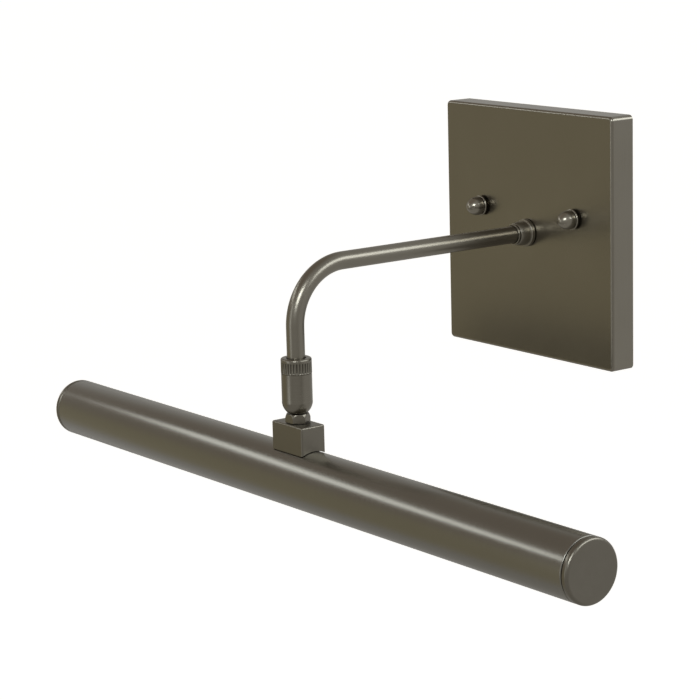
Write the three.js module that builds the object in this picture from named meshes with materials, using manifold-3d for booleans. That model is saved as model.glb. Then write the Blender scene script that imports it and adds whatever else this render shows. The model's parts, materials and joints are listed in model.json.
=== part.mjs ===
// Picture light for a wall: a square cover plate, a bent arm, a ball joint in a knurled
// clamping sleeve, and a slim lamp tube with its light engine. Millimetres, +Z up.
// The wall is the plane y = 0, the viewer stands on the -Y side, and the lamp tube runs
// along X. The origin is the centre of the cover plate's back, on the wall.
import * as THREE from 'three';
import { mergeVertices } from 'three/addons/utils/BufferGeometryUtils.js';
import Module from 'manifold-3d';

const wasm = await Module();
wasm.setup();

// ---------------------------------------------------------------- general
const GAP = 0.3; // clearance between pieces that touch on the real object
const ROUND = 24; // sides of a large turned surface
const SMALL_ROUND = 16; // sides of a small turned surface
const WIRE_SIDES = 6; // sides of a lead

// ---------------------------------------------------------------- cover plate
const PLATE_WIDTH = 114.3;
const PLATE_HEIGHT = 114.3;
const PLATE_DEPTH = 12.7;
const PLATE_SHEET = 1.2;
const PLATE_EDGE_RADIUS = 1.4; // round between the front and the sides
const PLATE_CORNER_RADIUS = 2.2; // round of the four upright corners

// ---------------------------------------------------------------- mounting bar and studs
const BAR_END_CLEARANCE = 4.15; // from the bar's end to the plate's outside
const BAR_WIDTH = 16;
const BAR_THICKNESS = 2;
const BAR_CENTRE_HOLE_RADIUS = 4.8;
const BAR_SLOT_MARGIN = 8.55; // from the bar's end to the middle of a slot for the wall box's screw
const BOX_SLOT_LENGTH = 10;
const BOX_SLOT_WIDTH = 5;
const STUD_SPACING = 63.5;
const STUD_HEIGHT = 9.5; // above the arm
const STUD_RADIUS = 2.05;
const STUD_IN_KNOB = 4.2; // length of stud inside its thumb nut
const STUD_NUT_RING = 2.3; // from the stud to a flat of its nut
const STUD_NUT_THICKNESS = 2.6;
const GROUND_SCREW_X = -14;
const GROUND_SCREW_RADIUS = 2.4;
const GROUND_HEAD_OVERHANG = 1.6;
const GROUND_HEAD_HEIGHT = 2.2;
const GROUND_SLOT_WIDTH = 1;
const GROUND_SLOT_DEPTH = 1;

// ---------------------------------------------------------------- thumb nuts
const KNOB_LENGTH = 8.6;
const KNOB_NECK_RADIUS = 3.4;
const KNOB_NECK_LENGTH = 0.7;
const KNOB_RIM_RADIUS = 4.75;
const KNOB_RIM_LENGTH = 1.0;
const KNOB_GROOVE_RADIUS = 3.8;
const KNOB_GROOVE_LENGTH = 0.5;
const KNOB_BODY_RADIUS = 4.35;
const KNOB_BORE_SPARE = 0.8; // bore left beyond the stud's end

// ---------------------------------------------------------------- arm
const ARM_REACH = 145.1; // from the wall to the upright stretch
const ARM_RADIUS = 3.97;
const ARM_WALL = 0.95;
const ARM_BEND_RADIUS = 26;
const ARM_BEND_STEPS = 10;
const COLLAR_WALL = 1.15; // of the band, round the nipple
const COLLAR_BAND = 2; // length of the wide band against the plate
const COLLAR_EDGE = 0.6; // round of the band's front edge
const COLLAR_SHOULDER = 5.2; // length of the narrower shoulder in front of it
const COLLAR_NECK_WALL = 0.35; // shoulder, next to the band, round the nipple
const COLLAR_TOP_WALL = 0.63; // shoulder, at its front, round the arm
const FERRULE_WALL = 0.48;
const FERRULE_LENGTH = 1;
const NIPPLE_WALL = 0.63;
const NIPPLE_IN_COLLAR = 1.9;
const NIPPLE_TAIL = 0.3; // how far the nipple passes its nut
const NIPPLE_NUT_RING = 1.8; // from the nut's bore to a flat
const NIPPLE_NUT_THICKNESS = 2.4;
const NIPPLE_WASHER_RING = 2.8; // from the washer's bore to its teeth's tips
const NIPPLE_WASHER_THICKNESS = 0.8;
const WASHER_TEETH = 8;
const BUSHING_FLANGE = 0.7;
const BUSHING_SLEEVE = 1.8;

// ---------------------------------------------------------------- leads and connectors
const LEAD_RADIUS = 0.8;
const LEAD_OFFSET = 0.98; // each lead's distance from the middle of the arm
const LEAD_TURN_RADIUS = 1.8; // bend behind the bushing
const LEAD_DROP = 22; // how far they run down
const CONNECTOR_MOUTH_X = 12;
const CONNECTOR_LENGTH = 19;
const CONNECTOR_MOUTH_RADIUS = 4.1;
const CONNECTOR_TIP_RADIUS = 2.6;
const LEAD_IN_CONNECTOR = 8;

// ---------------------------------------------------------------- clamping sleeve and ball joint
const SLEEVE_TOP_Z = -39.3;
const SLEEVE_WALL = 0.85; // round the ball's seat
const SLEEVE_THREAD_WALL = 1.15; // round the thread
const SLEEVE_TOP_EDGE = 1.2;
const SLEEVE_LIP = 1.7; // thickness of the inward lip at the top
const BALL_BELOW_SLEEVE_TOP = 19;
const KNURL_LENGTH = 5;
const KNURL_COUNT = 24;
const KNURL_DEPTH = 0.35;
const KNURL_WIDTH = 0.55;
const BALL_RADIUS = 4.75;
const SEAT_RING_WALL = 0.55;
const MOUTH_OVERLAP = 0.25; // how far the sleeve's mouth reaches under the ball
const FITTING_WALL = 1.03; // round the arm's end
const FITTING_BELOW_LIP = 1.6;
const FITTING_FLOOR = 1.3;
const SPRING_THICKNESS = 0.5;
const SPRING_WAVE = 0.25;
const SPRING_WAVES = 3;
const CUP_CROWN = 0.95; // above the ball's crown
const CUP_BOTTOM = 3.2; // above the ball's centre
const WIRE_HOLE_RADIUS = 2.2;

// ---------------------------------------------------------------- ball stud
const STUD_NECK_RADIUS = 2.5;
const STUD_BORE_RADIUS = 1.65;
const HEX_OVER_RIM = 0.265; // from the turned rim, as wide as the sleeve's mouth, to a flat
const HEX_HEIGHT = 3.973; // from the rim to the block
const HEX_SHOULDER = 1.9; // height of the rounded shoulder under the rim
const SHANK_RADIUS = 3;

// ---------------------------------------------------------------- saddle block and lamp tube
const BLOCK_LENGTH = 22.2;
const BLOCK_PAST_HEX = 1.485; // from a flat of the hexagon to the block's side
const BLOCK_EDGE_RADIUS = 0.7;
const BLOCK_TO_TUBE_TOP = 11.4; // from the block's top to the crown of the tube
const TUBE_RADIUS = 13.4;
const TUBE_WALL = 1.1;
const TUBE_LENGTH = 369;
const AIM_ANGLE = 30; // degrees that the light slot is turned from straight down to the wall
const SLOT_HALF_ANGLE = 34;
const SLOT_END_BAND = 16; // closed ring left at each end of the tube
const CAP_LENGTH = 3.1;
const CAP_EDGE_RADIUS = 1.6;
const CAP_SPIGOT_LENGTH = 8;
const CAP_SPIGOT_WALL = 1.6;
const CAP_DISC = 1.4;
const TUBE_WASHER_RING = 1.8; // from the shank to the washer's outside
const TUBE_WASHER_THICKNESS = 1;
const TUBE_NUT_RING = 1.25; // from the shank to a flat of its nut
const TUBE_NUT_THICKNESS = 2.6;
const SHANK_TAIL = 0.5;

// ---------------------------------------------------------------- light engine, across the slot
const CHANNEL_TOP = 0.8; // above the tube's axis
const CHANNEL_BASE = 1.8;
const CHANNEL_LEG = 1.2;
const CHANNEL_FOOT_RISE = 4.1; // from the bottom of the tube's bore to the feet
const CHANNEL_LIP = 0.8;
const CHANNEL_LIP_REACH = 1;
const BOARD_SIDE_CLEARANCE = 1.56; // from the board to the channel's legs
const BOARD_THICKNESS = 1.2;
const BOARD_END_CLEARANCE = 8.5; // from the board to the channel's ends
const CHIP_COUNT = 18;
const CHIP_LENGTH = 3.5;
const CHIP_WIDTH = 2.8;
const CHIP_HEIGHT = 0.7;
const DIFFUSER_THICKNESS = 1.5;
const DRIVER_START_X = 30;
const DRIVER_LENGTH = 84;
const DRIVER_WIDTH = 15;
const DRIVER_BOARD_THICKNESS = 1.6;
const DRIVER_HEADROOM = 2.3; // from the coil's top edges to the tube's bore
const COIL_HALF_WIDTH = 5;
const LAMP_LEAD_RADIUS = 0.6;
const LAMP_LEAD_OFFSET = 0.8;
const LAMP_LEAD_BEND = 2;
const BOARD_LEAD_REACH = 8; // from the driver's end to the hole in the channel
const BOARD_LEAD_HOLE_RADIUS = 2;

// ---------------------------------------------------------------- places worked out from the sizes
const PLATE_FRONT_Y = -PLATE_DEPTH;
const PLATE_INSIDE_Y = PLATE_FRONT_Y + PLATE_SHEET;
const BAR_LENGTH = PLATE_WIDTH - 2 * BAR_END_CLEARANCE;
const STUD_REACH = PLATE_DEPTH + GAP + STUD_IN_KNOB;
const ARM_Y = -ARM_REACH;
const NIPPLE_RADIUS = ARM_RADIUS + GAP + NIPPLE_WALL;
const COLLAR_RADIUS = NIPPLE_RADIUS + GAP + COLLAR_WALL;
const COLLAR_NECK_RADIUS = NIPPLE_RADIUS + GAP + COLLAR_NECK_WALL;
const COLLAR_TOP_RADIUS = ARM_RADIUS + GAP + COLLAR_TOP_WALL;
const FERRULE_RADIUS = ARM_RADIUS + GAP + FERRULE_WALL;
const BALL_Z = SLEEVE_TOP_Z - BALL_BELOW_SLEEVE_TOP;
const SEAT_RING_INNER = BALL_RADIUS + GAP;
const SEAT_RING_OUTER = SEAT_RING_INNER + SEAT_RING_WALL;
const SOCKET_RADIUS = SEAT_RING_OUTER + GAP;
const THREAD_BORE_RADIUS = Math.max(SEAT_RING_OUTER, ARM_RADIUS + GAP + FITTING_WALL + GAP);
const SLEEVE_RADIUS = Math.max(SOCKET_RADIUS + SLEEVE_WALL, THREAD_BORE_RADIUS + SLEEVE_THREAD_WALL);
const SLEEVE_MOUTH_RADIUS = BALL_RADIUS - MOUTH_OVERLAP;
const HEX_RIM_RADIUS = SLEEVE_MOUTH_RADIUS;
const HEX_FLATS = 2 * (HEX_RIM_RADIUS + HEX_OVER_RIM);
const BLOCK_WIDTH = HEX_FLATS + 2 * BLOCK_PAST_HEX;
const HEX_CLEARANCE_RADIUS = SLEEVE_RADIUS + GAP;
const HEX_RIM_DROP = Math.sqrt(HEX_CLEARANCE_RADIUS ** 2 - HEX_RIM_RADIUS ** 2);
const BLOCK_TOP_Z = BALL_Z - HEX_RIM_DROP - HEX_HEIGHT - GAP;
const BLOCK_BOTTOM_Z = BLOCK_TOP_Z - BLOCK_TO_TUBE_TOP;
const TUBE_Z = BLOCK_BOTTOM_Z - TUBE_RADIUS;
const TUBE_BORE_RADIUS = TUBE_RADIUS - TUBE_WALL;
const CUP_TOP_Z = BALL_Z + SEAT_RING_INNER + CUP_CROWN;
const SPRING_BOTTOM_Z = CUP_TOP_Z + GAP;
const FITTING_BOTTOM_Z = SPRING_BOTTOM_Z + SPRING_THICKNESS + 2 * SPRING_WAVE + GAP;
const ARM_END_Z = FITTING_BOTTOM_Z + FITTING_FLOOR + GAP;
const NIPPLE_WASHER_Y = PLATE_INSIDE_Y + GAP;
const NIPPLE_NUT_Y = NIPPLE_WASHER_Y + NIPPLE_WASHER_THICKNESS + GAP;
const NIPPLE_BACK_Y = NIPPLE_NUT_Y + NIPPLE_NUT_THICKNESS + NIPPLE_TAIL;
const ARM_BACK_Y = NIPPLE_BACK_Y - BUSHING_SLEEVE - GAP;
const COLLAR_BACK_Y = PLATE_FRONT_Y - GAP;
const NIPPLE_FRONT_Y = COLLAR_BACK_Y - NIPPLE_IN_COLLAR;
const COLLAR_FRONT_Y = COLLAR_BACK_Y - COLLAR_BAND - COLLAR_SHOULDER;
const FERRULE_BACK_Y = COLLAR_FRONT_Y - GAP;
const BUSHING_BACK_Y = NIPPLE_BACK_Y + GAP + BUSHING_FLANGE;
const LEAD_DROP_Y = BUSHING_BACK_Y + LEAD_TURN_RADIUS;
const LEAD_END_Z = BALL_Z + BALL_RADIUS + 0.5;
const FITTING_TOP_Z = SLEEVE_TOP_Z - SLEEVE_LIP - FITTING_BELOW_LIP;
const CHANNEL_FOOT = CHANNEL_FOOT_RISE - TUBE_BORE_RADIUS; // below the tube's axis
const CHANNEL_HALF_WIDTH = Math.sqrt((TUBE_BORE_RADIUS - GAP) ** 2 - CHANNEL_FOOT ** 2);
const CHANNEL_INNER = CHANNEL_HALF_WIDTH - CHANNEL_LEG;
const CHANNEL_LENGTH = TUBE_LENGTH - 2 * CAP_SPIGOT_LENGTH;
const BOARD_TOP = CHANNEL_TOP - CHANNEL_BASE - GAP;
const BOARD_WIDTH = 2 * (CHANNEL_INNER - BOARD_SIDE_CLEARANCE);
const BOARD_LENGTH = CHANNEL_LENGTH - 2 * BOARD_END_CLEARANCE;
const DRIVER_BOTTOM = CHANNEL_TOP + GAP;
const BOARD_LEAD_X = DRIVER_START_X + DRIVER_LENGTH + BOARD_LEAD_REACH;

// ---------------------------------------------------------------- geometry helpers
const degrees = THREE.MathUtils.degToRad;
const v2 = (x, y) => new THREE.Vector2(x, y);
const v3 = (x, y, z) => new THREE.Vector3(x, y, z);

/** Volume inside a welded, indexed geometry; negative when its faces point inwards. */
function signedVolume(geometry) {
  const index = geometry.index;
  const corners = geometry.attributes.position;
  const [a, b, c] = [v3(0, 0, 0), v3(0, 0, 0), v3(0, 0, 0)];
  let sum = 0;
  for (let i = 0; i < index.count; i += 3) {
    a.fromBufferAttribute(corners, index.getX(i));
    b.fromBufferAttribute(corners, index.getX(i + 1));
    c.fromBufferAttribute(corners, index.getX(i + 2));
    sum += a.dot(b.cross(c)) / 6;
  }
  return sum;
}

/** The same surface with shared corners, no zero-area faces, and its faces pointing out. */
function weld(geometry) {
  geometry.deleteAttribute('normal');
  geometry.deleteAttribute('uv');
  const welded = mergeVertices(geometry, 1e-4);
  const kept = [];
  for (let i = 0; i < welded.index.count; i += 3) {
    const [a, b, c] = [0, 1, 2].map((k) => welded.index.getX(i + k));
    if (a !== b && b !== c && c !== a) kept.push(a, b, c);
  }
  welded.setIndex(kept);
  if (signedVolume(welded) < 0) welded.setIndex(kept.reverse());
  return welded;
}

/** A closed geometry as a solid for cutting and joining. */
function toSolid(geometry) {
  const vertProperties = new Float32Array(geometry.attributes.position.array);
  const triVerts = new Uint32Array(geometry.index.array);
  return new wasm.Manifold(new wasm.Mesh({ numProp: 3, vertProperties, triVerts }));
}

/** A solid's surface as a geometry. */
function toGeometry(solid) {
  const mesh = solid.getMesh();
  const geometry = new THREE.BufferGeometry();
  geometry.setAttribute('position', new THREE.BufferAttribute(mesh.vertProperties, 3));
  geometry.setIndex(new THREE.BufferAttribute(mesh.triVerts, 1));
  return geometry;
}

/** The first geometry with the others cut away. */
function cut(geometry, ...tools) {
  return toGeometry(tools.reduce((solid, tool) => solid.subtract(toSolid(tool)), toSolid(geometry)));
}

/** All the geometries joined into one. */
function join(...geometries) {
  return toGeometry(geometries.map(toSolid).reduce((sum, solid) => sum.add(solid)));
}

/** The space that two geometries share. */
function common(first, second) {
  return toGeometry(toSolid(first).intersect(toSolid(second)));
}

/** A box from its lowest to its highest corner. */
function boxBetween(low, high) {
  const size = high.map((value, i) => value - low[i]);
  const middle = high.map((value, i) => (value + low[i]) / 2);
  return weld(new THREE.BoxGeometry(...size)).translate(...middle);
}

/** A body turned about Y from [radius, y] points; a ring's outline is closed here. */
function turnedY(profile, sides = ROUND) {
  const points = profile.map(([radius, y]) => v2(radius, y));
  const onAxis = profile[0][0] === 0 && profile[profile.length - 1][0] === 0;
  if (!onAxis) points.push(points[0].clone());
  return weld(new THREE.LatheGeometry(points, sides));
}

/** A body turned about Z from [radius, z] points. */
function turnedZ(profile, sides = ROUND) {
  return turnedY(profile, sides).rotateX(Math.PI / 2);
}

/** A body turned about X from [radius, x] points. */
function turnedX(profile, sides = ROUND) {
  return turnedY(profile, sides).rotateZ(-Math.PI / 2);
}

/** Profile points on a circle round [0, centre], from one angle above the radius to another. */
function arcPoints(radius, centre, fromDegrees, toDegrees, steps, radialCentre = 0) {
  return Array.from({ length: steps + 1 }, (_, i) => {
    const angle = degrees(fromDegrees + ((toDegrees - fromDegrees) * i) / steps);
    return [radialCentre + radius * Math.cos(angle), centre + radius * Math.sin(angle)];
  });
}

/** A plain tube or rod about Y between two y values; a bore of 0 is solid. */
function rodY(radius, bore, fromY, toY, sides = SMALL_ROUND) {
  return turnedY([[bore, fromY], [radius, fromY], [radius, toY], [bore, toY]], sides);
}

/** A plain tube or rod about Z between two z values. */
function rodZ(radius, bore, fromZ, toZ, sides = SMALL_ROUND) {
  return turnedZ([[bore, fromZ], [radius, fromZ], [radius, toZ], [bore, toZ]], sides);
}

/** A rectangle with round corners, centred on the origin. */
function roundedRectangle(width, height, radius) {
  const [x, y] = [width / 2 - radius, height / 2 - radius];
  const shape = new THREE.Shape();
  shape.absarc(x, y, radius, 0, Math.PI / 2);
  shape.absarc(-x, y, radius, Math.PI / 2, Math.PI);
  shape.absarc(-x, -y, radius, Math.PI, 1.5 * Math.PI);
  shape.absarc(x, -y, radius, 1.5 * Math.PI, 2 * Math.PI);
  shape.closePath();
  return shape;
}

/** A flat outline in X and Z, given a thickness along -Y starting at the given y. */
function slabFacingViewer(shape, fromY, thickness, options = {}) {
  const settings = { depth: thickness, bevelEnabled: false, curveSegments: 4, ...options };
  return weld(new THREE.ExtrudeGeometry(shape, settings).rotateX(Math.PI / 2)).translate(0, fromY, 0);
}

/** A hexagon by its width across flats; two flats lie across the second axis. */
function hexagon(acrossFlats) {
  const corner = acrossFlats / Math.sqrt(3);
  const points = Array.from({ length: 6 }, (_, i) => {
    const angle = (i * Math.PI) / 3;
    return v2(corner * Math.cos(angle), corner * Math.sin(angle));
  });
  return new THREE.Shape(points);
}

/** A hexagonal nut about Y whose back is at the given y. */
function hexNutY(acrossFlats, bore, frontY, backY) {
  const blank = slabFacingViewer(hexagon(acrossFlats), backY, backY - frontY);
  return cut(blank, rodY(bore, 0, frontY - 1, backY + 1));
}

/** A path of straight stretches with round corners, sampled where the shape needs it. */
class BentPath extends THREE.Curve {
  constructor(corners, radii, stepsPerBend) {
    super();
    this.stations = [corners[0].clone()];
    for (let i = 1; i < corners.length - 1; i += 1) {
      const into = corners[i].clone().sub(corners[i - 1]).normalize();
      const out = corners[i + 1].clone().sub(corners[i]).normalize();
      const turn = into.angleTo(out);
      const reach = radii[i - 1] * Math.tan(turn / 2);
      const start = corners[i].clone().addScaledVector(into, -reach);
      const inward = out.clone().addScaledVector(into, -Math.cos(turn)).normalize();
      const centre = start.clone().addScaledVector(inward, radii[i - 1]);
      for (let k = 0; k <= stepsPerBend; k += 1) {
        const angle = (turn * k) / stepsPerBend;
        const point = centre.clone().addScaledVector(inward, -radii[i - 1] * Math.cos(angle));
        this.stations.push(point.addScaledVector(into, radii[i - 1] * Math.sin(angle)));
      }
    }
    this.stations.push(corners[corners.length - 1].clone());
  }

  get steps() {
    return this.stations.length - 1;
  }

  getPoint(t) {
    const place = t * this.steps;
    const before = Math.min(Math.floor(place), this.steps - 1);
    return this.stations[before].clone().lerp(this.stations[before + 1], place - before);
  }

  getPointAt(u) {
    return this.getPoint(u);
  }

  getTangentAt(u) {
    const place = Math.round(u * this.steps);
    const before = this.stations[Math.max(place - 1, 0)];
    const after = this.stations[Math.min(place + 1, this.steps)];
    const here = this.stations[place];
    const into = here.clone().sub(before).normalize();
    const out = after.clone().sub(here).normalize();
    return into.add(out).normalize();
  }
}

/** A round rod or tube along a path; a bore of 0 is solid. */
function alongPath(path, radius, bore, sides) {
  const shape = new THREE.Shape(new THREE.Path().absarc(0, 0, radius, 0, 2 * Math.PI).getSpacedPoints(sides));
  if (bore > 0) {
    shape.holes.push(new THREE.Path(new THREE.Path().absarc(0, 0, bore, 0, 2 * Math.PI, true)
      .getSpacedPoints(sides)));
  }
  const settings = { steps: path.steps, extrudePath: path, bevelEnabled: false, curveSegments: sides };
  return weld(new THREE.ExtrudeGeometry(shape, settings));
}

// ---------------------------------------------------------------- finishes
const finish = (color, roughness, metalness) => (
  () => new THREE.MeshStandardMaterial({ color, roughness, metalness }));
const satinNickel = finish(0x5b5446, 0.38, 1);
const zincSteel = finish(0xa6a8a6, 0.4, 1);
const brassScrew = finish(0xb3924e, 0.35, 1);
const greenScrew = finish(0x2f6b3a, 0.45, 0.6);
const springSteel = finish(0x8b8d90, 0.3, 1);
const nylon = finish(0xe6e2d6, 0.5, 0);
const blackPlastic = finish(0x1b1b1c, 0.5, 0);
const whitePlastic = finish(0xe9e7e0, 0.5, 0);
const anodised = finish(0xc3c5c7, 0.45, 1);
const boardWhite = finish(0xeceae2, 0.55, 0);
const boardGreen = finish(0x2c5e3c, 0.5, 0);
const opal = finish(0xf4f2ea, 0.6, 0);
const redPlastic = finish(0xa1281f, 0.5, 0);

const fixture = new THREE.Group();
const head = new THREE.Group();
const lightEngine = new THREE.Group();
const group = new THREE.Group();
group.add(fixture, head);
head.add(lightEngine);

/** Adds one named piece to a group. */
function addPiece(owner, name, geometry, material) {
  const mesh = new THREE.Mesh(geometry, material());
  mesh.name = name;
  owner.add(mesh);
}

// ---------------------------------------------------------------- cover plate, bar and studs
/** Stud places as name endings and X positions. */
const SIDES = [['left', -STUD_SPACING / 2], ['right', STUD_SPACING / 2]];

function backPlate() {
  const edge = PLATE_EDGE_RADIUS;
  const flat = [PLATE_WIDTH - 2 * edge, PLATE_HEIGHT - 2 * edge];
  const outline = roundedRectangle(...flat, PLATE_CORNER_RADIUS - edge);
  const bevel = { bevelEnabled: true, bevelThickness: edge, bevelSize: edge, bevelSegments: 2 };
  const block = slabFacingViewer(outline, 0, PLATE_DEPTH - edge, bevel);
  const behind = boxBetween([-PLATE_WIDTH, 0, -PLATE_HEIGHT], [PLATE_WIDTH, PLATE_DEPTH, PLATE_HEIGHT]);
  const inside = [PLATE_WIDTH - 2 * PLATE_SHEET, PLATE_HEIGHT - 2 * PLATE_SHEET];
  const insideOutline = roundedRectangle(...inside, PLATE_CORNER_RADIUS - PLATE_SHEET);
  const hollow = slabFacingViewer(insideOutline, 1, PLATE_DEPTH - PLATE_SHEET + 1);
  const armHole = rodY(NIPPLE_RADIUS + GAP, 0, PLATE_FRONT_Y - 1, 1);
  const studHoles = SIDES.map(([, x]) => (
    rodY(STUD_RADIUS + GAP, 0, PLATE_FRONT_Y - 1, 1).translate(x, 0, STUD_HEIGHT)));
  return cut(block, behind, hollow, armHole, ...studHoles);
}

function mountingBar() {
  const outline = roundedRectangle(BAR_LENGTH, BAR_WIDTH, 3);
  const bar = slabFacingViewer(outline, 0, BAR_THICKNESS);
  const hole = (radius, x) => rodY(radius, 0, -BAR_THICKNESS - 1, 1).translate(x, 0, 0);
  const studHoles = SIDES.map(([, x]) => hole(STUD_RADIUS + GAP, x));
  const slots = [-1, 1].map((side) => {
    const slot = roundedRectangle(BOX_SLOT_LENGTH, BOX_SLOT_WIDTH, BOX_SLOT_WIDTH / 2 - 0.01);
    const x = side * (BAR_LENGTH / 2 - BAR_SLOT_MARGIN);
    return slabFacingViewer(slot, 1, BAR_THICKNESS + 2).translate(x, 0, 0);
  });
  const centreHole = hole(BAR_CENTRE_HOLE_RADIUS, 0);
  const groundHole = hole(GROUND_SCREW_RADIUS + GAP, GROUND_SCREW_X);
  return cut(bar, ...studHoles, ...slots, centreHole, groundHole).translate(0, 0, STUD_HEIGHT);
}

function groundScrew() {
  const headBack = -BAR_THICKNESS - GAP;
  const headFront = headBack - GROUND_HEAD_HEIGHT;
  const headRadius = GROUND_SCREW_RADIUS + GROUND_HEAD_OVERHANG;
  const screw = turnedY([
    [0, 0], [GROUND_SCREW_RADIUS, 0], [GROUND_SCREW_RADIUS, headBack],
    [headRadius, headBack], [headRadius, headFront], [0, headFront],
  ], SMALL_ROUND);
  const slot = boxBetween(
    [-headRadius - 1, headFront - 1, -GROUND_SLOT_WIDTH / 2],
    [headRadius + 1, headFront + GROUND_SLOT_DEPTH, GROUND_SLOT_WIDTH / 2],
  );
  return cut(screw, slot).translate(GROUND_SCREW_X, 0, STUD_HEIGHT);
}

/** Decorative cap nut: neck, rim, groove and a pointed nose, with a blind bore for the stud. */
function thumbNut() {
  const rimStart = KNOB_NECK_LENGTH;
  const rimEnd = rimStart + KNOB_RIM_LENGTH;
  const bodyStart = rimEnd + KNOB_GROOVE_LENGTH;
  const noseLength = KNOB_LENGTH - bodyStart - 0.5;
  const nose = [0, 0.35, 0.65, 0.85].map((share) => (
    [KNOB_BODY_RADIUS * (1 - share ** 1.9) ** 0.72, bodyStart + 0.5 + noseLength * share]));
  const outside = [
    [KNOB_NECK_RADIUS, 0], [KNOB_NECK_RADIUS, rimStart],
    [KNOB_RIM_RADIUS - 0.3, rimStart], [KNOB_RIM_RADIUS, rimStart + 0.35], [KNOB_RIM_RADIUS, rimEnd - 0.35],
    [KNOB_RIM_RADIUS - 0.35, rimEnd], [KNOB_GROOVE_RADIUS, rimEnd + 0.05],
    [KNOB_GROOVE_RADIUS, bodyStart], [KNOB_BODY_RADIUS - 0.15, bodyStart + 0.1],
    ...nose, [0, KNOB_LENGTH],
  ];
  const bore = STUD_RADIUS + GAP;
  const boreEnd = STUD_IN_KNOB + KNOB_BORE_SPARE;
  const profile = [[0, boreEnd], [bore, boreEnd], [bore, 0], ...outside];
  return turnedY(profile.map(([radius, along]) => [radius, COLLAR_BACK_Y - along]), SMALL_ROUND);
}

function addStuds() {
  for (const [side, x] of SIDES) {
    const stud = rodY(STUD_RADIUS, 0, -STUD_REACH, 0).translate(x, 0, STUD_HEIGHT);
    const nutBack = -BAR_THICKNESS - GAP;
    const nutFlats = 2 * (STUD_RADIUS + STUD_NUT_RING);
    const nut = hexNutY(nutFlats, STUD_RADIUS + GAP, nutBack - STUD_NUT_THICKNESS, nutBack);
    addPiece(fixture, `stud_${side}`, stud, zincSteel);
    addPiece(fixture, `stud_nut_${side}`, nut.translate(x, 0, STUD_HEIGHT), zincSteel);
    addPiece(fixture, `thumb_nut_${side}`, thumbNut().translate(x, 0, STUD_HEIGHT), satinNickel);
  }
}

// ---------------------------------------------------------------- arm
function armTube() {
  const path = new BentPath(
    [v3(0, ARM_BACK_Y, 0), v3(0, ARM_Y, 0), v3(0, ARM_Y, ARM_END_Z)],
    [ARM_BEND_RADIUS],
    ARM_BEND_STEPS,
  );
  return alongPath(path, ARM_RADIUS, ARM_RADIUS - ARM_WALL, SMALL_ROUND);
}

/** Turned collar: a band against the plate and a rounded shoulder running out to the arm. */
function armCollar() {
  const bandFront = COLLAR_BACK_Y - COLLAR_BAND;
  const narrowing = COLLAR_NECK_RADIUS - COLLAR_TOP_RADIUS;
  const shoulder = [0, 0.5, 0.8, 1].map((share) => (
    [COLLAR_NECK_RADIUS - narrowing * share ** 3, bandFront - COLLAR_SHOULDER * share]));
  const nippleBore = NIPPLE_RADIUS + GAP;
  const armBore = ARM_RADIUS + GAP;
  const step = NIPPLE_FRONT_Y - GAP;
  return turnedY([
    [nippleBore, COLLAR_BACK_Y], [COLLAR_RADIUS - 0.3, COLLAR_BACK_Y], [COLLAR_RADIUS, COLLAR_BACK_Y - 0.3],
    [COLLAR_RADIUS, bandFront + COLLAR_EDGE], [COLLAR_RADIUS - COLLAR_EDGE, bandFront], ...shoulder,
    [armBore, COLLAR_FRONT_Y], [armBore, step], [nippleBore, step],
  ], ROUND);
}

function armFerrule() {
  const front = FERRULE_BACK_Y - FERRULE_LENGTH;
  const bore = ARM_RADIUS + GAP;
  const edge = 0.35;
  return turnedY([
    [bore, FERRULE_BACK_Y], [FERRULE_RADIUS - edge, FERRULE_BACK_Y], [FERRULE_RADIUS, FERRULE_BACK_Y - edge],
    [FERRULE_RADIUS, front + edge], [FERRULE_RADIUS - edge, front], [bore, front],
  ], ROUND);
}

/** Star washer under the nipple's nut. */
function nippleWasher() {
  const outer = NIPPLE_RADIUS + GAP + NIPPLE_WASHER_RING;
  const points = Array.from({ length: WASHER_TEETH * 4 }, (_, i) => {
    const radius = i % 4 < 2 ? outer : outer - 1.1;
    const angle = ((i + 0.5) * 2 * Math.PI) / (WASHER_TEETH * 4);
    return v2(radius * Math.cos(angle), radius * Math.sin(angle));
  });
  const blank = slabFacingViewer(
    new THREE.Shape(points),
    NIPPLE_WASHER_Y + NIPPLE_WASHER_THICKNESS,
    NIPPLE_WASHER_THICKNESS,
  );
  return cut(blank, rodY(NIPPLE_RADIUS + GAP, 0, PLATE_FRONT_Y, 0));
}

/** Plastic bushing that keeps the leads off the nipple's edge. */
function nippleBushing() {
  const flangeFront = NIPPLE_BACK_Y + GAP;
  const sleeveFront = NIPPLE_BACK_Y - BUSHING_SLEEVE;
  return turnedY([
    [WIRE_HOLE_RADIUS, BUSHING_BACK_Y], [NIPPLE_RADIUS, BUSHING_BACK_Y], [NIPPLE_RADIUS, flangeFront],
    [ARM_RADIUS, flangeFront], [ARM_RADIUS, sleeveFront], [WIRE_HOLE_RADIUS, sleeveFront],
  ], SMALL_ROUND);
}

/** One supply lead, from a connector behind the plate through the arm to the ball joint. */
function supplyLead(side) {
  const x = side * LEAD_OFFSET;
  const path = new BentPath(
    [
      v3(x, ARM_Y, LEAD_END_Z), v3(x, ARM_Y, 0), v3(x, LEAD_DROP_Y, 0), v3(x, LEAD_DROP_Y, -LEAD_DROP),
      v3(side * (CONNECTOR_MOUTH_X + LEAD_IN_CONNECTOR), LEAD_DROP_Y, -LEAD_DROP),
    ],
    [ARM_BEND_RADIUS, LEAD_TURN_RADIUS, 3],
    8,
  );
  return alongPath(path, LEAD_RADIUS, 0, WIRE_SIDES);
}

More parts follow.
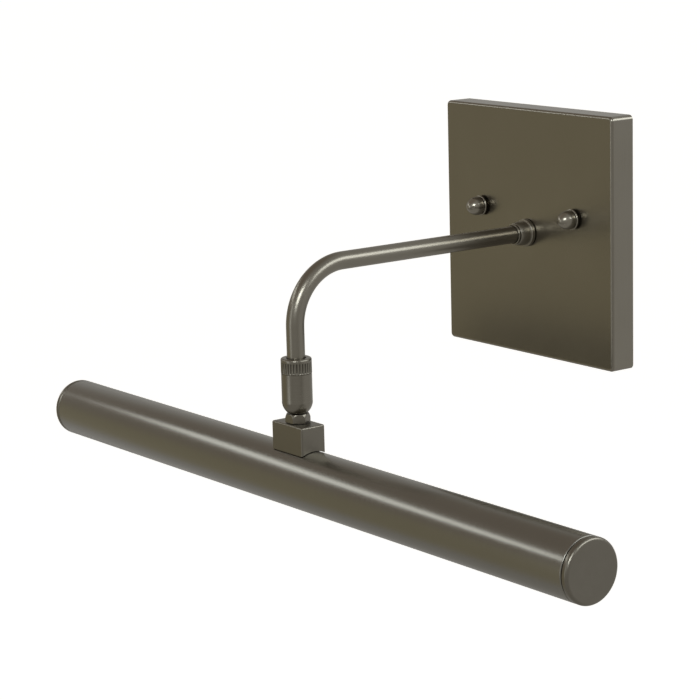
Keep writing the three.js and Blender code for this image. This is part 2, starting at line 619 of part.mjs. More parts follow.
/** Twist-on connector: a hollow fluted cone, closed at its tip. */
function wireConnector(side) {
  const tip = CONNECTOR_LENGTH;
  const wall = 1.2;
  const bore = LEAD_RADIUS + GAP;
  const cone = turnedX([
    [0, LEAD_IN_CONNECTOR + 1], [bore, LEAD_IN_CONNECTOR + 1], [bore, 6], [CONNECTOR_MOUTH_RADIUS - wall, 4],
    [CONNECTOR_MOUTH_RADIUS - wall, 0], [CONNECTOR_MOUTH_RADIUS, 0], [CONNECTOR_MOUTH_RADIUS, 5],
    [CONNECTOR_TIP_RADIUS + 0.4, tip - 1.5], [CONNECTOR_TIP_RADIUS - 0.6, tip], [0, tip],
  ], SMALL_ROUND);
  if (side < 0) cone.rotateZ(Math.PI);
  return cone.translate(side * CONNECTOR_MOUTH_X, LEAD_DROP_Y, -LEAD_DROP);
}

function addArm() {
  const nipple = rodY(NIPPLE_RADIUS, ARM_RADIUS + GAP, NIPPLE_FRONT_Y, NIPPLE_BACK_Y);
  const nut = hexNutY(
    2 * (NIPPLE_RADIUS + GAP + NIPPLE_NUT_RING),
    NIPPLE_RADIUS + GAP,
    NIPPLE_NUT_Y,
    NIPPLE_NUT_Y + NIPPLE_NUT_THICKNESS,
  );
  addPiece(fixture, 'arm_tube', armTube(), satinNickel);
  addPiece(fixture, 'arm_collar', armCollar(), satinNickel);
  addPiece(fixture, 'arm_ferrule', armFerrule(), satinNickel);
  addPiece(fixture, 'arm_nipple', nipple, brassScrew);
  addPiece(fixture, 'nipple_washer', nippleWasher(), springSteel);
  addPiece(fixture, 'nipple_nut', nut, zincSteel);
  addPiece(fixture, 'nipple_bushing', nippleBushing(), nylon);
  addPiece(fixture, 'supply_lead_white', supplyLead(-1), whitePlastic);
  addPiece(fixture, 'supply_lead_black', supplyLead(1), blackPlastic);
  addPiece(fixture, 'wire_connector_white', wireConnector(-1), whitePlastic);
  addPiece(fixture, 'wire_connector_black', wireConnector(1), blackPlastic);
}

// ---------------------------------------------------------------- clamping sleeve and ball joint
/** Knurled sleeve: lip round the arm, threaded bore, and a round bottom that holds the ball. */
function clampSleeve() {
  const mouthOutside = -Math.sqrt(SLEEVE_RADIUS ** 2 - SLEEVE_MOUTH_RADIUS ** 2);
  const mouthInside = -Math.sqrt(SOCKET_RADIUS ** 2 - SLEEVE_MOUTH_RADIUS ** 2);
  const steep = THREE.MathUtils.radToDeg(Math.atan2(mouthOutside, SLEEVE_MOUTH_RADIUS));
  const steepInside = THREE.MathUtils.radToDeg(Math.atan2(mouthInside, SLEEVE_MOUTH_RADIUS));
  const top = SLEEVE_TOP_Z - BALL_Z;
  const edge = SLEEVE_TOP_EDGE;
  const lipBottom = top - SLEEVE_LIP;
  const socketTop = 2.2;
  const body = turnedZ([
    ...arcPoints(SLEEVE_RADIUS, 0, steep, 0, 5),
    ...arcPoints(edge, top - edge, 0, 90, 3, SLEEVE_RADIUS - edge),
    [ARM_RADIUS + GAP + 0.4, top], [ARM_RADIUS + GAP, top - 0.4], [ARM_RADIUS + GAP, lipBottom],
    [THREAD_BORE_RADIUS, lipBottom], [THREAD_BORE_RADIUS, socketTop], [SOCKET_RADIUS, socketTop],
    ...arcPoints(SOCKET_RADIUS, 0, 0, steepInside, 4),
  ], ROUND);
  const knurlTop = top - edge;
  const flutes = Array.from({ length: KNURL_COUNT }, (_, i) => boxBetween(
    [SLEEVE_RADIUS - KNURL_DEPTH, -KNURL_WIDTH / 2, knurlTop - KNURL_LENGTH],
    [SLEEVE_RADIUS + 1, KNURL_WIDTH / 2, knurlTop],
  ).rotateZ((i * 2 * Math.PI) / KNURL_COUNT));
  return cut(body, ...flutes).translate(0, ARM_Y, BALL_Z);
}

/** Threaded end fitting brazed on the arm's end; the sleeve screws onto it. */
function swivelFitting() {
  const outer = THREAD_BORE_RADIUS - GAP;
  const armBore = ARM_RADIUS + GAP;
  const floorTop = FITTING_BOTTOM_Z + FITTING_FLOOR;
  const top = FITTING_TOP_Z;
  return turnedZ([
    [WIRE_HOLE_RADIUS, FITTING_BOTTOM_Z], [outer, FITTING_BOTTOM_Z], [outer, top - 0.5], [outer - 0.5, top],
    [armBore, top], [armBore, floorTop], [WIRE_HOLE_RADIUS, floorTop],
  ], SMALL_ROUND).translate(0, ARM_Y, 0);
}

/** Wave washer that presses the cup on the ball. */
function springWasher() {
  const ring = rodZ(THREAD_BORE_RADIUS - GAP, WIRE_HOLE_RADIUS + GAP, 0, SPRING_THICKNESS, SPRING_WAVES * 12);
  const corners = ring.attributes.position;
  for (let i = 0; i < corners.count; i += 1) {
    const angle = Math.atan2(corners.getY(i), corners.getX(i));
    corners.setZ(i, corners.getZ(i) + SPRING_WAVE * (1 + Math.cos(SPRING_WAVES * angle)));
  }
  return ring.translate(0, ARM_Y, SPRING_BOTTOM_Z);
}

/** Friction cup over the ball, hollow underneath to the ball's round. */
function frictionCup() {
  const sphere = SEAT_RING_INNER;
  const bore = WIRE_HOLE_RADIUS;
  const outerAngle = THREE.MathUtils.radToDeg(Math.asin(CUP_BOTTOM / sphere));
  const innerAngle = THREE.MathUtils.radToDeg(Math.acos(bore / sphere));
  const outer = THREAD_BORE_RADIUS - GAP;
  return turnedZ([
    [outer, CUP_BOTTOM], [outer, CUP_TOP_Z - BALL_Z], [bore, CUP_TOP_Z - BALL_Z],
    ...arcPoints(sphere, 0, innerAngle, outerAngle, 4),
  ], SMALL_ROUND).translate(0, ARM_Y, BALL_Z);
}

/** Low-friction ring in the bottom of the sleeve, between it and the ball. */
function seatRing() {
  const [high, low] = [-5, -38];
  return turnedZ([
    ...arcPoints(SEAT_RING_OUTER, 0, low, high, 3),
    ...arcPoints(SEAT_RING_INNER, 0, high, low, 3),
  ], ROUND).translate(0, ARM_Y, BALL_Z);
}

/** Ball, neck, hexagon and hollow threaded shank in one turned piece. */
function ballStud() {
  const flatAngle = 63;
  const neckAngle = THREE.MathUtils.radToDeg(-Math.acos(STUD_NECK_RADIUS / BALL_RADIUS));
  const dish = HEX_CLEARANCE_RADIUS;
  const dishInner = THREE.MathUtils.radToDeg(-Math.acos(STUD_NECK_RADIUS / dish));
  const dishOuter = THREE.MathUtils.radToDeg(-Math.acos(HEX_RIM_RADIUS / dish));
  const rimZ = -HEX_RIM_DROP;
  const hexBottom = BLOCK_TOP_Z + GAP - BALL_Z;
  const corner = HEX_FLATS / Math.sqrt(3);
  const shankEnd = shankEndZ() - BALL_Z;
  const boreTop = BALL_RADIUS * Math.sin(degrees(flatAngle));
  const shoulder = [0.3, 0.65, 1].map((share) => (
    [HEX_RIM_RADIUS + (corner - HEX_RIM_RADIUS) * Math.sqrt(share), rimZ - HEX_SHOULDER * share]));
  const body = turnedZ([
    ...arcPoints(BALL_RADIUS, 0, flatAngle, neckAngle, 8),
    ...arcPoints(dish, 0, dishInner, dishOuter, 2), ...shoulder,
    [corner, hexBottom], [SHANK_RADIUS, hexBottom], [SHANK_RADIUS, shankEnd + 0.4],
    [SHANK_RADIUS - 0.4, shankEnd], [STUD_BORE_RADIUS, shankEnd], [STUD_BORE_RADIUS, boreTop],
  ], SMALL_ROUND);
  const hexSettings = { depth: rimZ - hexBottom + 2, bevelEnabled: false };
  const hexPrism = weld(new THREE.ExtrudeGeometry(hexagon(HEX_FLATS), hexSettings));
  const above = rodZ(BALL_RADIUS + 1, 0, rimZ + 1, BALL_RADIUS + 1);
  const below = rodZ(SHANK_RADIUS + 0.2, 0, shankEnd - 1, hexBottom + 0.5);
  const envelope = join(hexPrism.translate(0, 0, hexBottom), above, below);
  return common(body, envelope).translate(0, ARM_Y, BALL_Z);
}

// ---------------------------------------------------------------- lamp head
/** Top of the flat washer inside the tube, clear of the tube's round wall. */
function tubeWasherTop() {
  return TUBE_Z + Math.sqrt(TUBE_BORE_RADIUS ** 2 - (SHANK_RADIUS + TUBE_WASHER_RING) ** 2) - GAP;
}

function tubeNutTop() {
  return tubeWasherTop() - TUBE_WASHER_THICKNESS - GAP;
}

function shankEndZ() {
  return tubeNutTop() - TUBE_NUT_THICKNESS - SHANK_TAIL;
}

/** Block with a concave underside that sits on the tube. */
function saddleBlock() {
  const edge = BLOCK_EDGE_RADIUS;
  const outline = roundedRectangle(BLOCK_LENGTH - 2 * edge, BLOCK_WIDTH - 2 * edge, edge);
  const height = BLOCK_TOP_Z - TUBE_Z;
  const bevel = { bevelEnabled: true, bevelThickness: edge, bevelSize: edge, bevelSegments: 3 };
  const settings = { depth: height - 2 * edge, curveSegments: 3, ...bevel };
  const block = weld(new THREE.ExtrudeGeometry(outline, settings));
  block.translate(0, ARM_Y, TUBE_Z + edge);
  const saddle = turnedX([
    [0, -BLOCK_LENGTH], [TUBE_RADIUS + GAP, -BLOCK_LENGTH],
    [TUBE_RADIUS + GAP, BLOCK_LENGTH], [0, BLOCK_LENGTH],
  ], ROUND + 8).translate(0, ARM_Y, TUBE_Z);
  const bore = rodZ(SHANK_RADIUS + GAP, 0, TUBE_Z - 1, BLOCK_TOP_Z + 1).translate(0, ARM_Y, 0);
  return cut(block, saddle, bore);
}

/** A sector of a disc with its point at the origin, opening downwards. */
function downwardSector(radius, halfAngle) {
  const shape = new THREE.Shape([v2(0, 0)]);
  const steps = 6;
  for (let i = 0; i <= steps; i += 1) {
    const angle = degrees(-90 - halfAngle + (2 * halfAngle * i) / steps);
    shape.lineTo(radius * Math.cos(angle), radius * Math.sin(angle));
  }
  return shape;
}

/** Carries a Y, Z outline along X by the given length, centred on x = 0. */
function alongX(shape, length) {
  const settings = { depth: length, bevelEnabled: false, curveSegments: 6 };
  const bar = weld(new THREE.ExtrudeGeometry(shape, settings));
  return bar.rotateX(Math.PI / 2).rotateZ(Math.PI / 2).translate(-length / 2, 0, 0);
}

/** Lamp tube with the light slot along its underside and a hole in its crown for the shank. */
function lampTube() {
  const half = TUBE_LENGTH / 2;
  const tube = turnedX([
    [TUBE_BORE_RADIUS, -half], [TUBE_RADIUS, -half], [TUBE_RADIUS, half], [TUBE_BORE_RADIUS, half],
  ], ROUND + 8);
  const slot = alongX(downwardSector(TUBE_RADIUS * 1.5, SLOT_HALF_ANGLE), TUBE_LENGTH - 2 * SLOT_END_BAND);
  const crownHole = rodZ(SHANK_RADIUS + GAP, 0, 0, TUBE_RADIUS + 2);
  return cut(tube, slot.rotateX(degrees(AIM_ANGLE)), crownHole).translate(0, ARM_Y, TUBE_Z);
}

/** End cap: a rounded disc outside and a spigot inside the tube. */
function endCap(side) {
  const start = TUBE_LENGTH / 2 + GAP;
  const end = start + CAP_LENGTH;
  const edge = CAP_EDGE_RADIUS;
  const spigot = TUBE_BORE_RADIUS - GAP;
  const inside = spigot - CAP_SPIGOT_WALL;
  const rim = [0, 0.35, 0.7, 1].map((share) => {
    const angle = (share * Math.PI) / 2;
    return [TUBE_RADIUS - edge + edge * Math.cos(angle), end - edge + edge * Math.sin(angle)];
  });
  const cap = turnedX([
    [0, end - CAP_DISC], [inside, end - CAP_DISC], [inside, start - CAP_SPIGOT_LENGTH],
    [spigot, start - CAP_SPIGOT_LENGTH], [spigot, start], [TUBE_RADIUS, start], ...rim, [0, end],
  ], ROUND + 8);
  if (side < 0) cap.rotateZ(Math.PI);
  return cap.translate(0, ARM_Y, TUBE_Z);
}

// The light engine is drawn round the tube's axis with the light going down, then turned.
/** Aluminium channel: base, two legs, and lips that hold the diffuser. */
function lightChannel() {
  const [w, inner] = [CHANNEL_HALF_WIDTH, CHANNEL_INNER];
  const [top, foot] = [CHANNEL_TOP, CHANNEL_FOOT];
  const lip = inner - CHANNEL_LIP_REACH;
  const outline = new THREE.Shape([
    v2(-w, top), v2(-w, foot), v2(-lip, foot), v2(-lip, foot + CHANNEL_LIP), v2(-inner, foot + CHANNEL_LIP),
    v2(-inner, top - CHANNEL_BASE), v2(inner, top - CHANNEL_BASE), v2(inner, foot + CHANNEL_LIP),
    v2(lip, foot + CHANNEL_LIP), v2(lip, foot), v2(w, foot), v2(w, top),
  ]);
  const wireHole = rodZ(BOARD_LEAD_HOLE_RADIUS, 0, top - CHANNEL_BASE - 1, top + 1);
  return cut(alongX(outline, CHANNEL_LENGTH), wireHole.translate(BOARD_LEAD_X, 0, 0));
}

/** Circuit board with its row of light emitting chips facing down. */
function ledBoard() {
  const bottom = BOARD_TOP - BOARD_THICKNESS;
  const board = boxBetween(
    [-BOARD_LENGTH / 2, -BOARD_WIDTH / 2, bottom],
    [BOARD_LENGTH / 2, BOARD_WIDTH / 2, BOARD_TOP],
  );
  const pitch = BOARD_LENGTH / CHIP_COUNT;
  const chips = Array.from({ length: CHIP_COUNT }, (_, i) => {
    const x = (i + 0.5) * pitch - BOARD_LENGTH / 2;
    return boxBetween(
      [x - CHIP_LENGTH / 2, -CHIP_WIDTH / 2, bottom - CHIP_HEIGHT],
      [x + CHIP_LENGTH / 2, CHIP_WIDTH / 2, bottom + BOARD_THICKNESS / 2],
    );
  });
  return join(board, ...chips);
}

function diffuser() {
  const halfWidth = CHANNEL_INNER - GAP;
  const bottom = CHANNEL_FOOT + CHANNEL_LIP + GAP;
  const half = CHANNEL_LENGTH / 2;
  return boxBetween([-half, -halfWidth, bottom], [half, halfWidth, bottom + DIFFUSER_THICKNESS]);
}

/** Driver circuit board with its terminal, coil, capacitor and control parts. */
function driverBoard() {
  const top = DRIVER_BOTTOM + DRIVER_BOARD_THICKNESS;
  const onBoard = (fromX, toX, halfWidth, height) => boxBetween(
    [fromX, -halfWidth, top - 0.5],
    [toX, halfWidth, top + height],
  );
  const board = boxBetween([0, -DRIVER_WIDTH / 2, DRIVER_BOTTOM], [DRIVER_LENGTH, DRIVER_WIDTH / 2, top]);
  const terminal = onBoard(0, 7, 4, 4);
  const coilTop = Math.sqrt((TUBE_BORE_RADIUS - DRIVER_HEADROOM) ** 2 - COIL_HALF_WIDTH ** 2);
  const coil = onBoard(12, 26, COIL_HALF_WIDTH, coilTop - top);
  const capacitor = turnedX([[0, 31], [3, 31], [3, 44], [0, 44]], SMALL_ROUND).translate(0, 0, top + 2.6);
  const control = onBoard(50, 56, 3, 1.5);
  const smallCoil = onBoard(61, 69, 4, 4.5);
  const output = onBoard(DRIVER_LENGTH - 6, DRIVER_LENGTH, 3, 3.5);
  return join(board, terminal, coil, capacitor, control, smallCoil, output).translate(DRIVER_START_X, 0, 0);
}

/** One lead from the ball's bore down the shank and along the tube to the driver. */
function lampLead(side) {
  const y = ARM_Y + side * LAMP_LEAD_OFFSET;
  const runZ = shankEndZ() - LAMP_LEAD_BEND;
  const path = new BentPath(
    [v3(0, y, BALL_Z + BALL_RADIUS * 0.84), v3(0, y, runZ), v3(DRIVER_START_X - GAP, y, runZ)],
    [LAMP_LEAD_BEND],
    6,
  );
  return alongPath(path, LAMP_LEAD_RADIUS, 0, WIRE_SIDES);
}

/** One lead from the driver's far end down through the channel to the chip board. */
function boardLead(side) {
  const y = side * LAMP_LEAD_OFFSET;
  const height = DRIVER_BOTTOM + DRIVER_BOARD_THICKNESS + 1.8;
  const x = BOARD_LEAD_X;
  const path = new BentPath(
    [v3(DRIVER_START_X + DRIVER_LENGTH + GAP, y, height), v3(x, y, height), v3(x, y, BOARD_TOP + GAP)],
    [LAMP_LEAD_BEND],
    6,
  );
  return alongPath(path, LAMP_LEAD_RADIUS, 0, WIRE_SIDES);
}

function addJoint() {
  addPiece(fixture, 'clamp_sleeve', clampSleeve(), satinNickel);
  addPiece(fixture, 'swivel_fitting', swivelFitting(), brassScrew);
  addPiece(fixture, 'spring_washer', springWasher(), springSteel);
  addPiece(fixture, 'friction_cup', frictionCup(), brassScrew);
  addPiece(fixture, 'seat_ring', seatRing(), nylon);
}

function addHead() {
  const washerTop = tubeWasherTop();
  const nutTop = tubeNutTop();
  const bore = SHANK_RADIUS + GAP;
  const washerOutside = SHANK_RADIUS + TUBE_WASHER_RING;
  const washer = rodZ(washerOutside, bore, washerTop - TUBE_WASHER_THICKNESS, washerTop);
  const nutBlank = weld(new THREE.ExtrudeGeometry(
    hexagon(2 * (SHANK_RADIUS + TUBE_NUT_RING)),
    { depth: TUBE_NUT_THICKNESS, bevelEnabled: false },
  )).translate(0, 0, nutTop - TUBE_NUT_THICKNESS);
  const nut = cut(nutBlank, rodZ(bore, 0, nutTop - TUBE_NUT_THICKNESS - 1, nutTop + 1));
  addPiece(head, 'ball_stud', ballStud(), satinNickel);
  addPiece(head, 'saddle_block', saddleBlock(), satinNickel);
  addPiece(head, 'lamp_tube', lampTube(), satinNickel);
  addPiece(head, 'end_cap_left', endCap(-1), satinNickel);
  addPiece(head, 'end_cap_right', endCap(1), satinNickel);
  addPiece(head, 'shank_washer', washer.translate(0, ARM_Y, 0), zincSteel);
  addPiece(head, 'shank_nut', nut.translate(0, ARM_Y, 0), zincSteel);
  addPiece(head, 'lamp_lead_black', lampLead(-1), blackPlastic);
  addPiece(head, 'lamp_lead_white', lampLead(1), whitePlastic);
}

function addLightEngine() {
  lightEngine.position.set(0, ARM_Y, TUBE_Z);
  lightEngine.rotation.x = degrees(AIM_ANGLE);
  addPiece(lightEngine, 'light_channel', lightChannel(), anodised);
  addPiece(lightEngine, 'led_board', ledBoard(), boardWhite);
  addPiece(lightEngine, 'diffuser', diffuser(), opal);
  addPiece(lightEngine, 'driver_board', driverBoard(), boardGreen);
  addPiece(lightEngine, 'board_lead_plus', boardLead(-1), redPlastic);
  addPiece(lightEngine, 'board_lead_minus', boardLead(1), blackPlastic);
}

addPiece(fixture, 'back_plate', backPlate(), satinNickel);
addPiece(fixture, 'mounting_bar', mountingBar(), zincSteel);
addPiece(fixture, 'ground_screw', groundScrew(), greenScrew);
addStuds();
addArm();
addJoint();
addHead();
addLightEngine();

export default group;
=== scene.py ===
"""Picture light for a wall: the looks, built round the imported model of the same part."""

from __future__ import annotations

import json
import logging
import math
from dataclasses import dataclass, field
from enum import Enum
from typing import Callable, Iterable, Protocol, Sequence

import bmesh
import bpy
from mathutils import Matrix, Vector

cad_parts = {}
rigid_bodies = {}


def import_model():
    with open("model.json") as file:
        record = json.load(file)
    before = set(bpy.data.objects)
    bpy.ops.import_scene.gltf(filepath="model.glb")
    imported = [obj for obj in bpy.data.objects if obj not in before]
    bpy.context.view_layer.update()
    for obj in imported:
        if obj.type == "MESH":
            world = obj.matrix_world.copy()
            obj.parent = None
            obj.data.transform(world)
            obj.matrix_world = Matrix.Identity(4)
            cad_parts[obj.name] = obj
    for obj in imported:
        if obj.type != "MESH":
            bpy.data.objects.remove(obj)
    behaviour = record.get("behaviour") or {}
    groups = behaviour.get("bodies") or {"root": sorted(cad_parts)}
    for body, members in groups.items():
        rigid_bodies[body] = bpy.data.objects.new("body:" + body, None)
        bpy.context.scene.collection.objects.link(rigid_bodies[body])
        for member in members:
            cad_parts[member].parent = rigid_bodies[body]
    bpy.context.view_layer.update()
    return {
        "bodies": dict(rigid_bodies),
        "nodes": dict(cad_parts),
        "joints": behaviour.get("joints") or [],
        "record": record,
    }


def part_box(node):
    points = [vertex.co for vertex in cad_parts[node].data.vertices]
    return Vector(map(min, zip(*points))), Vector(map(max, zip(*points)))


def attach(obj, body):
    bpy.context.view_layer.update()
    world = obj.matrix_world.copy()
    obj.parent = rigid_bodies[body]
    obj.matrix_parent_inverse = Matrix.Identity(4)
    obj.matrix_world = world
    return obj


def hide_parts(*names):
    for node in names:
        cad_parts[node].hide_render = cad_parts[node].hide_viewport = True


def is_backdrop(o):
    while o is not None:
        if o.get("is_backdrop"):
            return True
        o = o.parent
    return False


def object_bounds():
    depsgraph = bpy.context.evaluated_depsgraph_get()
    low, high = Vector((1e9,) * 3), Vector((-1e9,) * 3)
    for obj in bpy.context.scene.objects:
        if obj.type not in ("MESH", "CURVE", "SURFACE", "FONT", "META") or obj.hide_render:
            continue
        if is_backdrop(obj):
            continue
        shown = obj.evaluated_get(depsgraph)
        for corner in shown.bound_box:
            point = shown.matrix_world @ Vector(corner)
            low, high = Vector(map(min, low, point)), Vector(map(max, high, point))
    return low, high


log = logging.getLogger("picture_light")

MM = 0.001
Color = tuple[float, float, float]
Profile = Sequence[tuple[float, ...]]
Ring = list[Vector]
Wave = Callable[[float, float, float], float]
Mesh = bmesh.types.BMesh
Object = bpy.types.Object
Material = bpy.types.Material
Socket = bpy.types.NodeSocket
ORIGIN = Vector((0, 0, 0))
SIDES = ("left", "right")
BLACK = (0.022, 0.022, 0.024)
WHITE = (0.80, 0.78, 0.72)
SPRING_STEEL = ((0.5, 0.5, 0.52), (0.36, 0.36, 0.38))
SMOOTH_BELOW = 32.0


# --- shader tools
class Value:
    """A shader socket that can be used in an expression."""

    def __init__(self, nodes: Nodes, socket: Socket) -> None:
        """Keep the node tree and one of its output sockets."""
        self.nodes = nodes
        self.socket = socket

    def _math(self, operation: str, *values: Value | float) -> Value:
        """Add a Math node with these inputs."""
        return self.nodes.node("ShaderNodeMath", {"operation": operation}, dict(enumerate(values)))

    def __add__(self, other: Value | float) -> Value:
        """Sum."""
        return self._math("ADD", self, other)

    def __radd__(self, other: float) -> Value:
        """Sum with a number first."""
        return self._math("ADD", other, self)

    def __sub__(self, other: Value | float) -> Value:
        """Difference."""
        return self._math("SUBTRACT", self, other)

    def __rsub__(self, other: float) -> Value:
        """Difference with a number first."""
        return self._math("SUBTRACT", other, self)

    def __mul__(self, other: Value | float) -> Value:
        """Product."""
        return self._math("MULTIPLY", self, other)

    def __rmul__(self, other: float) -> Value:
        """Product with a number first."""
        return self._math("MULTIPLY", other, self)

    def __truediv__(self, other: Value | float) -> Value:
        """Quotient."""
        return self._math("DIVIDE", self, other)

    def __rtruediv__(self, other: float) -> Value:
        """Quotient with a number first."""
        return self._math("DIVIDE", other, self)

    def above(self, limit: float, width: float) -> Value:
        """Smooth step from 0 to 1.

        Args:
            limit: Where the step starts.
            width: How wide it is.

        Returns:
            0 below the limit, 1 past it, smooth between.
        """
        settings = {"interpolation_type": "SMOOTHSTEP"}
        inputs = {"Value": self, "From Min": limit, "From Max": limit + width}
        return self.nodes.node("ShaderNodeMapRange", settings, inputs)

    def root(self) -> Value:
        """Square root."""
        return self._math("SQRT", self)

    def cosine(self) -> Value:
        """Cosine."""
        return self._math("COSINE", self)

    def turn(self, other: Value) -> Value:
        """Angle of the point (other, self)."""
        return self._math("ARCTAN2", self, other)


class Nodes:
    """Adds nodes to one node tree."""

    def __init__(self, tree: bpy.types.NodeTree) -> None:
        """Take a tree and empty it."""
        self.tree = tree
        self.tree.nodes.clear()

    def new(self, kind: str, settings: dict, inputs: dict) -> bpy.types.Node:
        """Add a node.

        Args:
            kind: The node's type.
            settings: Its properties, which are set first.
            inputs: Values or links, by socket name or number.

        Returns:
            The node.
        """
        node = self.tree.nodes.new(kind)
        for name, value in settings.items():
            setattr(node, name, value)
        for name, value in inputs.items():
            self.plug(node.inputs[name], value)
        return node

    def node(self, kind: str, settings: dict, inputs: dict, output: str | int = 0) -> Value:
        """Add a node and give one of its outputs, by name or number."""
        return Value(self, self.new(kind, settings, inputs).outputs[output])

    def plug(self, socket: Socket, value: Value | float | tuple) -> None:
        """Link a value to a socket or set the socket's own value.

        Args:
            socket: The input socket.
            value: A link, a number or a tuple.
        """
        if isinstance(value, Value):
            self.tree.links.new(value.socket, socket)
        elif isinstance(value, tuple) and socket.type == "RGBA":
            socket.default_value = (*value[:3], 1.0)
        else:
            socket.default_value = value

    def mix(self, factor: Value | float, low: Value | Color, high: Value | Color) -> Value:
        """Mix two colours: factor 0 gives the first one and 1 the second."""
        return self.node("ShaderNodeMix", {"data_type": "RGBA"}, {0: factor, 6: low, 7: high}, 2)


class Shader(Nodes):
    """Builds one material."""

    def __init__(self, name: str) -> None:
        """Start a material with a Principled surface.

        Args:
            name: The material's name.
        """
        self.material = bpy.data.materials.new(name)
        self.material.use_nodes = True
        super().__init__(self.material.node_tree)
        self.surface = self.new("ShaderNodeBsdfPrincipled", {}, {})
        self.new("ShaderNodeOutputMaterial", {}, {"Surface": Value(self, self.surface.outputs["BSDF"])})

    def place(self) -> Value:
        """Place on the object, in metres."""
        return self.node("ShaderNodeTexCoord", {}, {}, "Object")

    def parts(self, vector: Value) -> tuple[Value, Value, Value]:
        """X, Y and Z of a vector."""
        node = self.new("ShaderNodeSeparateXYZ", {}, {0: vector})
        return tuple(Value(self, socket) for socket in node.outputs)

    def vector(self, x: Value, y: Value, z: Value) -> Value:
        """Join three numbers into a vector."""
        return self.node("ShaderNodeCombineXYZ", {}, {0: x, 1: y, 2: z})

    def noise(self, where: Value, scale: float, detail: float, rough: float) -> Value:
        """Noise from 0 to 1 at these coordinates, with detail octaves that each keep rough of the last."""
        inputs = {"Vector": where, "Scale": scale, "Detail": detail, "Roughness": rough}
        return self.node("ShaderNodeTexNoise", {}, inputs, "Fac")

    def edges(self) -> Value:
        """Mask of the sharp outer edges."""
        return self.node("ShaderNodeNewGeometry", {}, {}, "Pointiness").above(0.51, 0.08)

    def set(self, **inputs: Value | float | tuple) -> None:
        """Set inputs of the surface; an underscore stands for a space in an input's name."""
        for name, value in inputs.items():
            self.plug(self.surface.inputs[name.replace("_", " ")], value)

    def done(
        self, color: Value, rough: Value, relief: Value, strength: float, depth: float, metal: float = 1.0
    ) -> Material:
        """Set up the surface.

        Args:
            color: Its base colour.
            rough: Its roughness.
            relief: Height of its relief, 0 to 1.
            strength: How much of the relief shows.
            depth: The relief's depth in metres.
            metal: 1 for metal and 0 for anything else.

        Returns:
            The material.
        """
        inputs = {"Strength": strength, "Distance": depth, "Height": relief}
        normal = self.node("ShaderNodeBump", {}, inputs, "Normal")
        self.set(Base_Color=color, Metallic=metal, Roughness=rough, Normal=normal)
        return self.material


class Grain(Enum):
    """Which way the brush lines run on a piece."""

    ALONG_X = "along x"
    ALONG_Z = "along z"
    ROUND_X = "round x"
    ROUND_Y = "round y"
    ROUND_Z = "round z"
    FACE_X = "face x"


def grain_field(shader: Shader, grain: Grain, centre: Vector) -> Value:
    """Coordinates that are long along the brush lines and short across them.

    Args:
        shader: The shader that gets the nodes.
        grain: The way the lines run.
        centre: A point on the turning axis, in metres.

    Returns:
        Coordinates in units of about one line.
    """
    x, y, z = shader.parts(shader.place())
    x, y, z = x - centre.x, y - centre.y, z - centre.z
    fine, long, turn, out = 1800.0, 45.0, 1.2, 300.0
    straight = {
        Grain.ALONG_X: (long, fine, fine),
        Grain.ALONG_Z: (fine, fine, long),
        Grain.FACE_X: (fine, long, fine),
    }
    if grain in straight:
        return shader.vector(*(part * scale for part, scale in zip((x, y, z), straight[grain])))
    axis, u, v = {Grain.ROUND_X: (x, y, z), Grain.ROUND_Y: (y, x, z), Grain.ROUND_Z: (z, x, y)}[grain]
    return shader.vector(axis * fine, u.turn(v) * turn, (u * u + v * v).root() * out)


@dataclass(frozen=True)
class SatinNickel:
    """Dark nickel plating, brushed and lacquered."""

    grain: Grain
    name: str = "satin_nickel"
    tone: Color = (0.262, 0.243, 0.206)
    deep: Color = (0.228, 0.210, 0.174)
    # edge_wear_and_shade: colour on the sharp edges; the default, lighter one is wear, and parts that pass a
    # dark one get painted shade on their edges
    edge_wear_and_shade: Color = (0.330, 0.312, 0.272)
    rough: float = 0.26
    relief: float = 0.035
    # painted light: painted_light_scale makes one part's nickel lighter or darker than the rest, standing in
    # for how much light that part catches
    painted_light_scale: float = 1.0
    # knurl: band and count of the painted shade in the knurl's grooves
    knurl: tuple[float, float, int] | None = None

    def make(self, centre: Vector) -> Material:
        """Build the material.

        Args:
            centre: A point on the turning axis of the piece.

        Returns:
            The material.
        """
        shader = Shader(self.name)
        lines = shader.noise(grain_field(shader, self.grain, centre), 1.0, 3.0, 0.6)
        clouds = shader.noise(shader.place(), 38.0, 3.0, 0.5)
        # painted light: both colours are scaled by painted_light_scale
        tones = [tuple(part * self.painted_light_scale for part in tone) for tone in (self.deep, self.tone)]
        body = shader.mix(lines * 0.75 + clouds * 0.25, *tones)
        if self.knurl:
            # painted shade: the knurl's grooves are darkened towards a near-black colour
            body = shader.mix(self.painted_groove_shade(shader, centre) * 0.8, body, (0.05, 0.046, 0.038))
        # sharp edges get edge_wear_and_shade: lighter wear by default, painted shade on parts that pass a
        # dark colour
        edge = shader.edges() * (0.05 + clouds * 0.2)
        rough = self.rough - 0.04 + lines * 0.05 + clouds * 0.04
        return shader.done(shader.mix(edge, body, self.edge_wear_and_shade), rough, lines, self.relief, 0.00003)

    def painted_groove_shade(self, shader: Shader, centre: Vector) -> Value:
        """Mask of painted shade in the knurl's grooves round an upright axis.

        Args:
            shader: The material's shader.
            centre: A point on the axis, from which the knurl's height is taken.

        Returns:
            1 in the bottom of a groove and 0 outside the knurl.
        """
        low, high, count = self.knurl
        x, y, z = shader.parts(shader.place())
        angle = (y - centre.y).turn(x - centre.x)
        wave = (angle * float(count)).cosine() * 0.5 + 0.5
        height = (z - centre.z) / MM
        return wave.above(0.35, 0.5) * height.above(low, 0.3) * (1 - height.above(high - 0.3, 0.3))


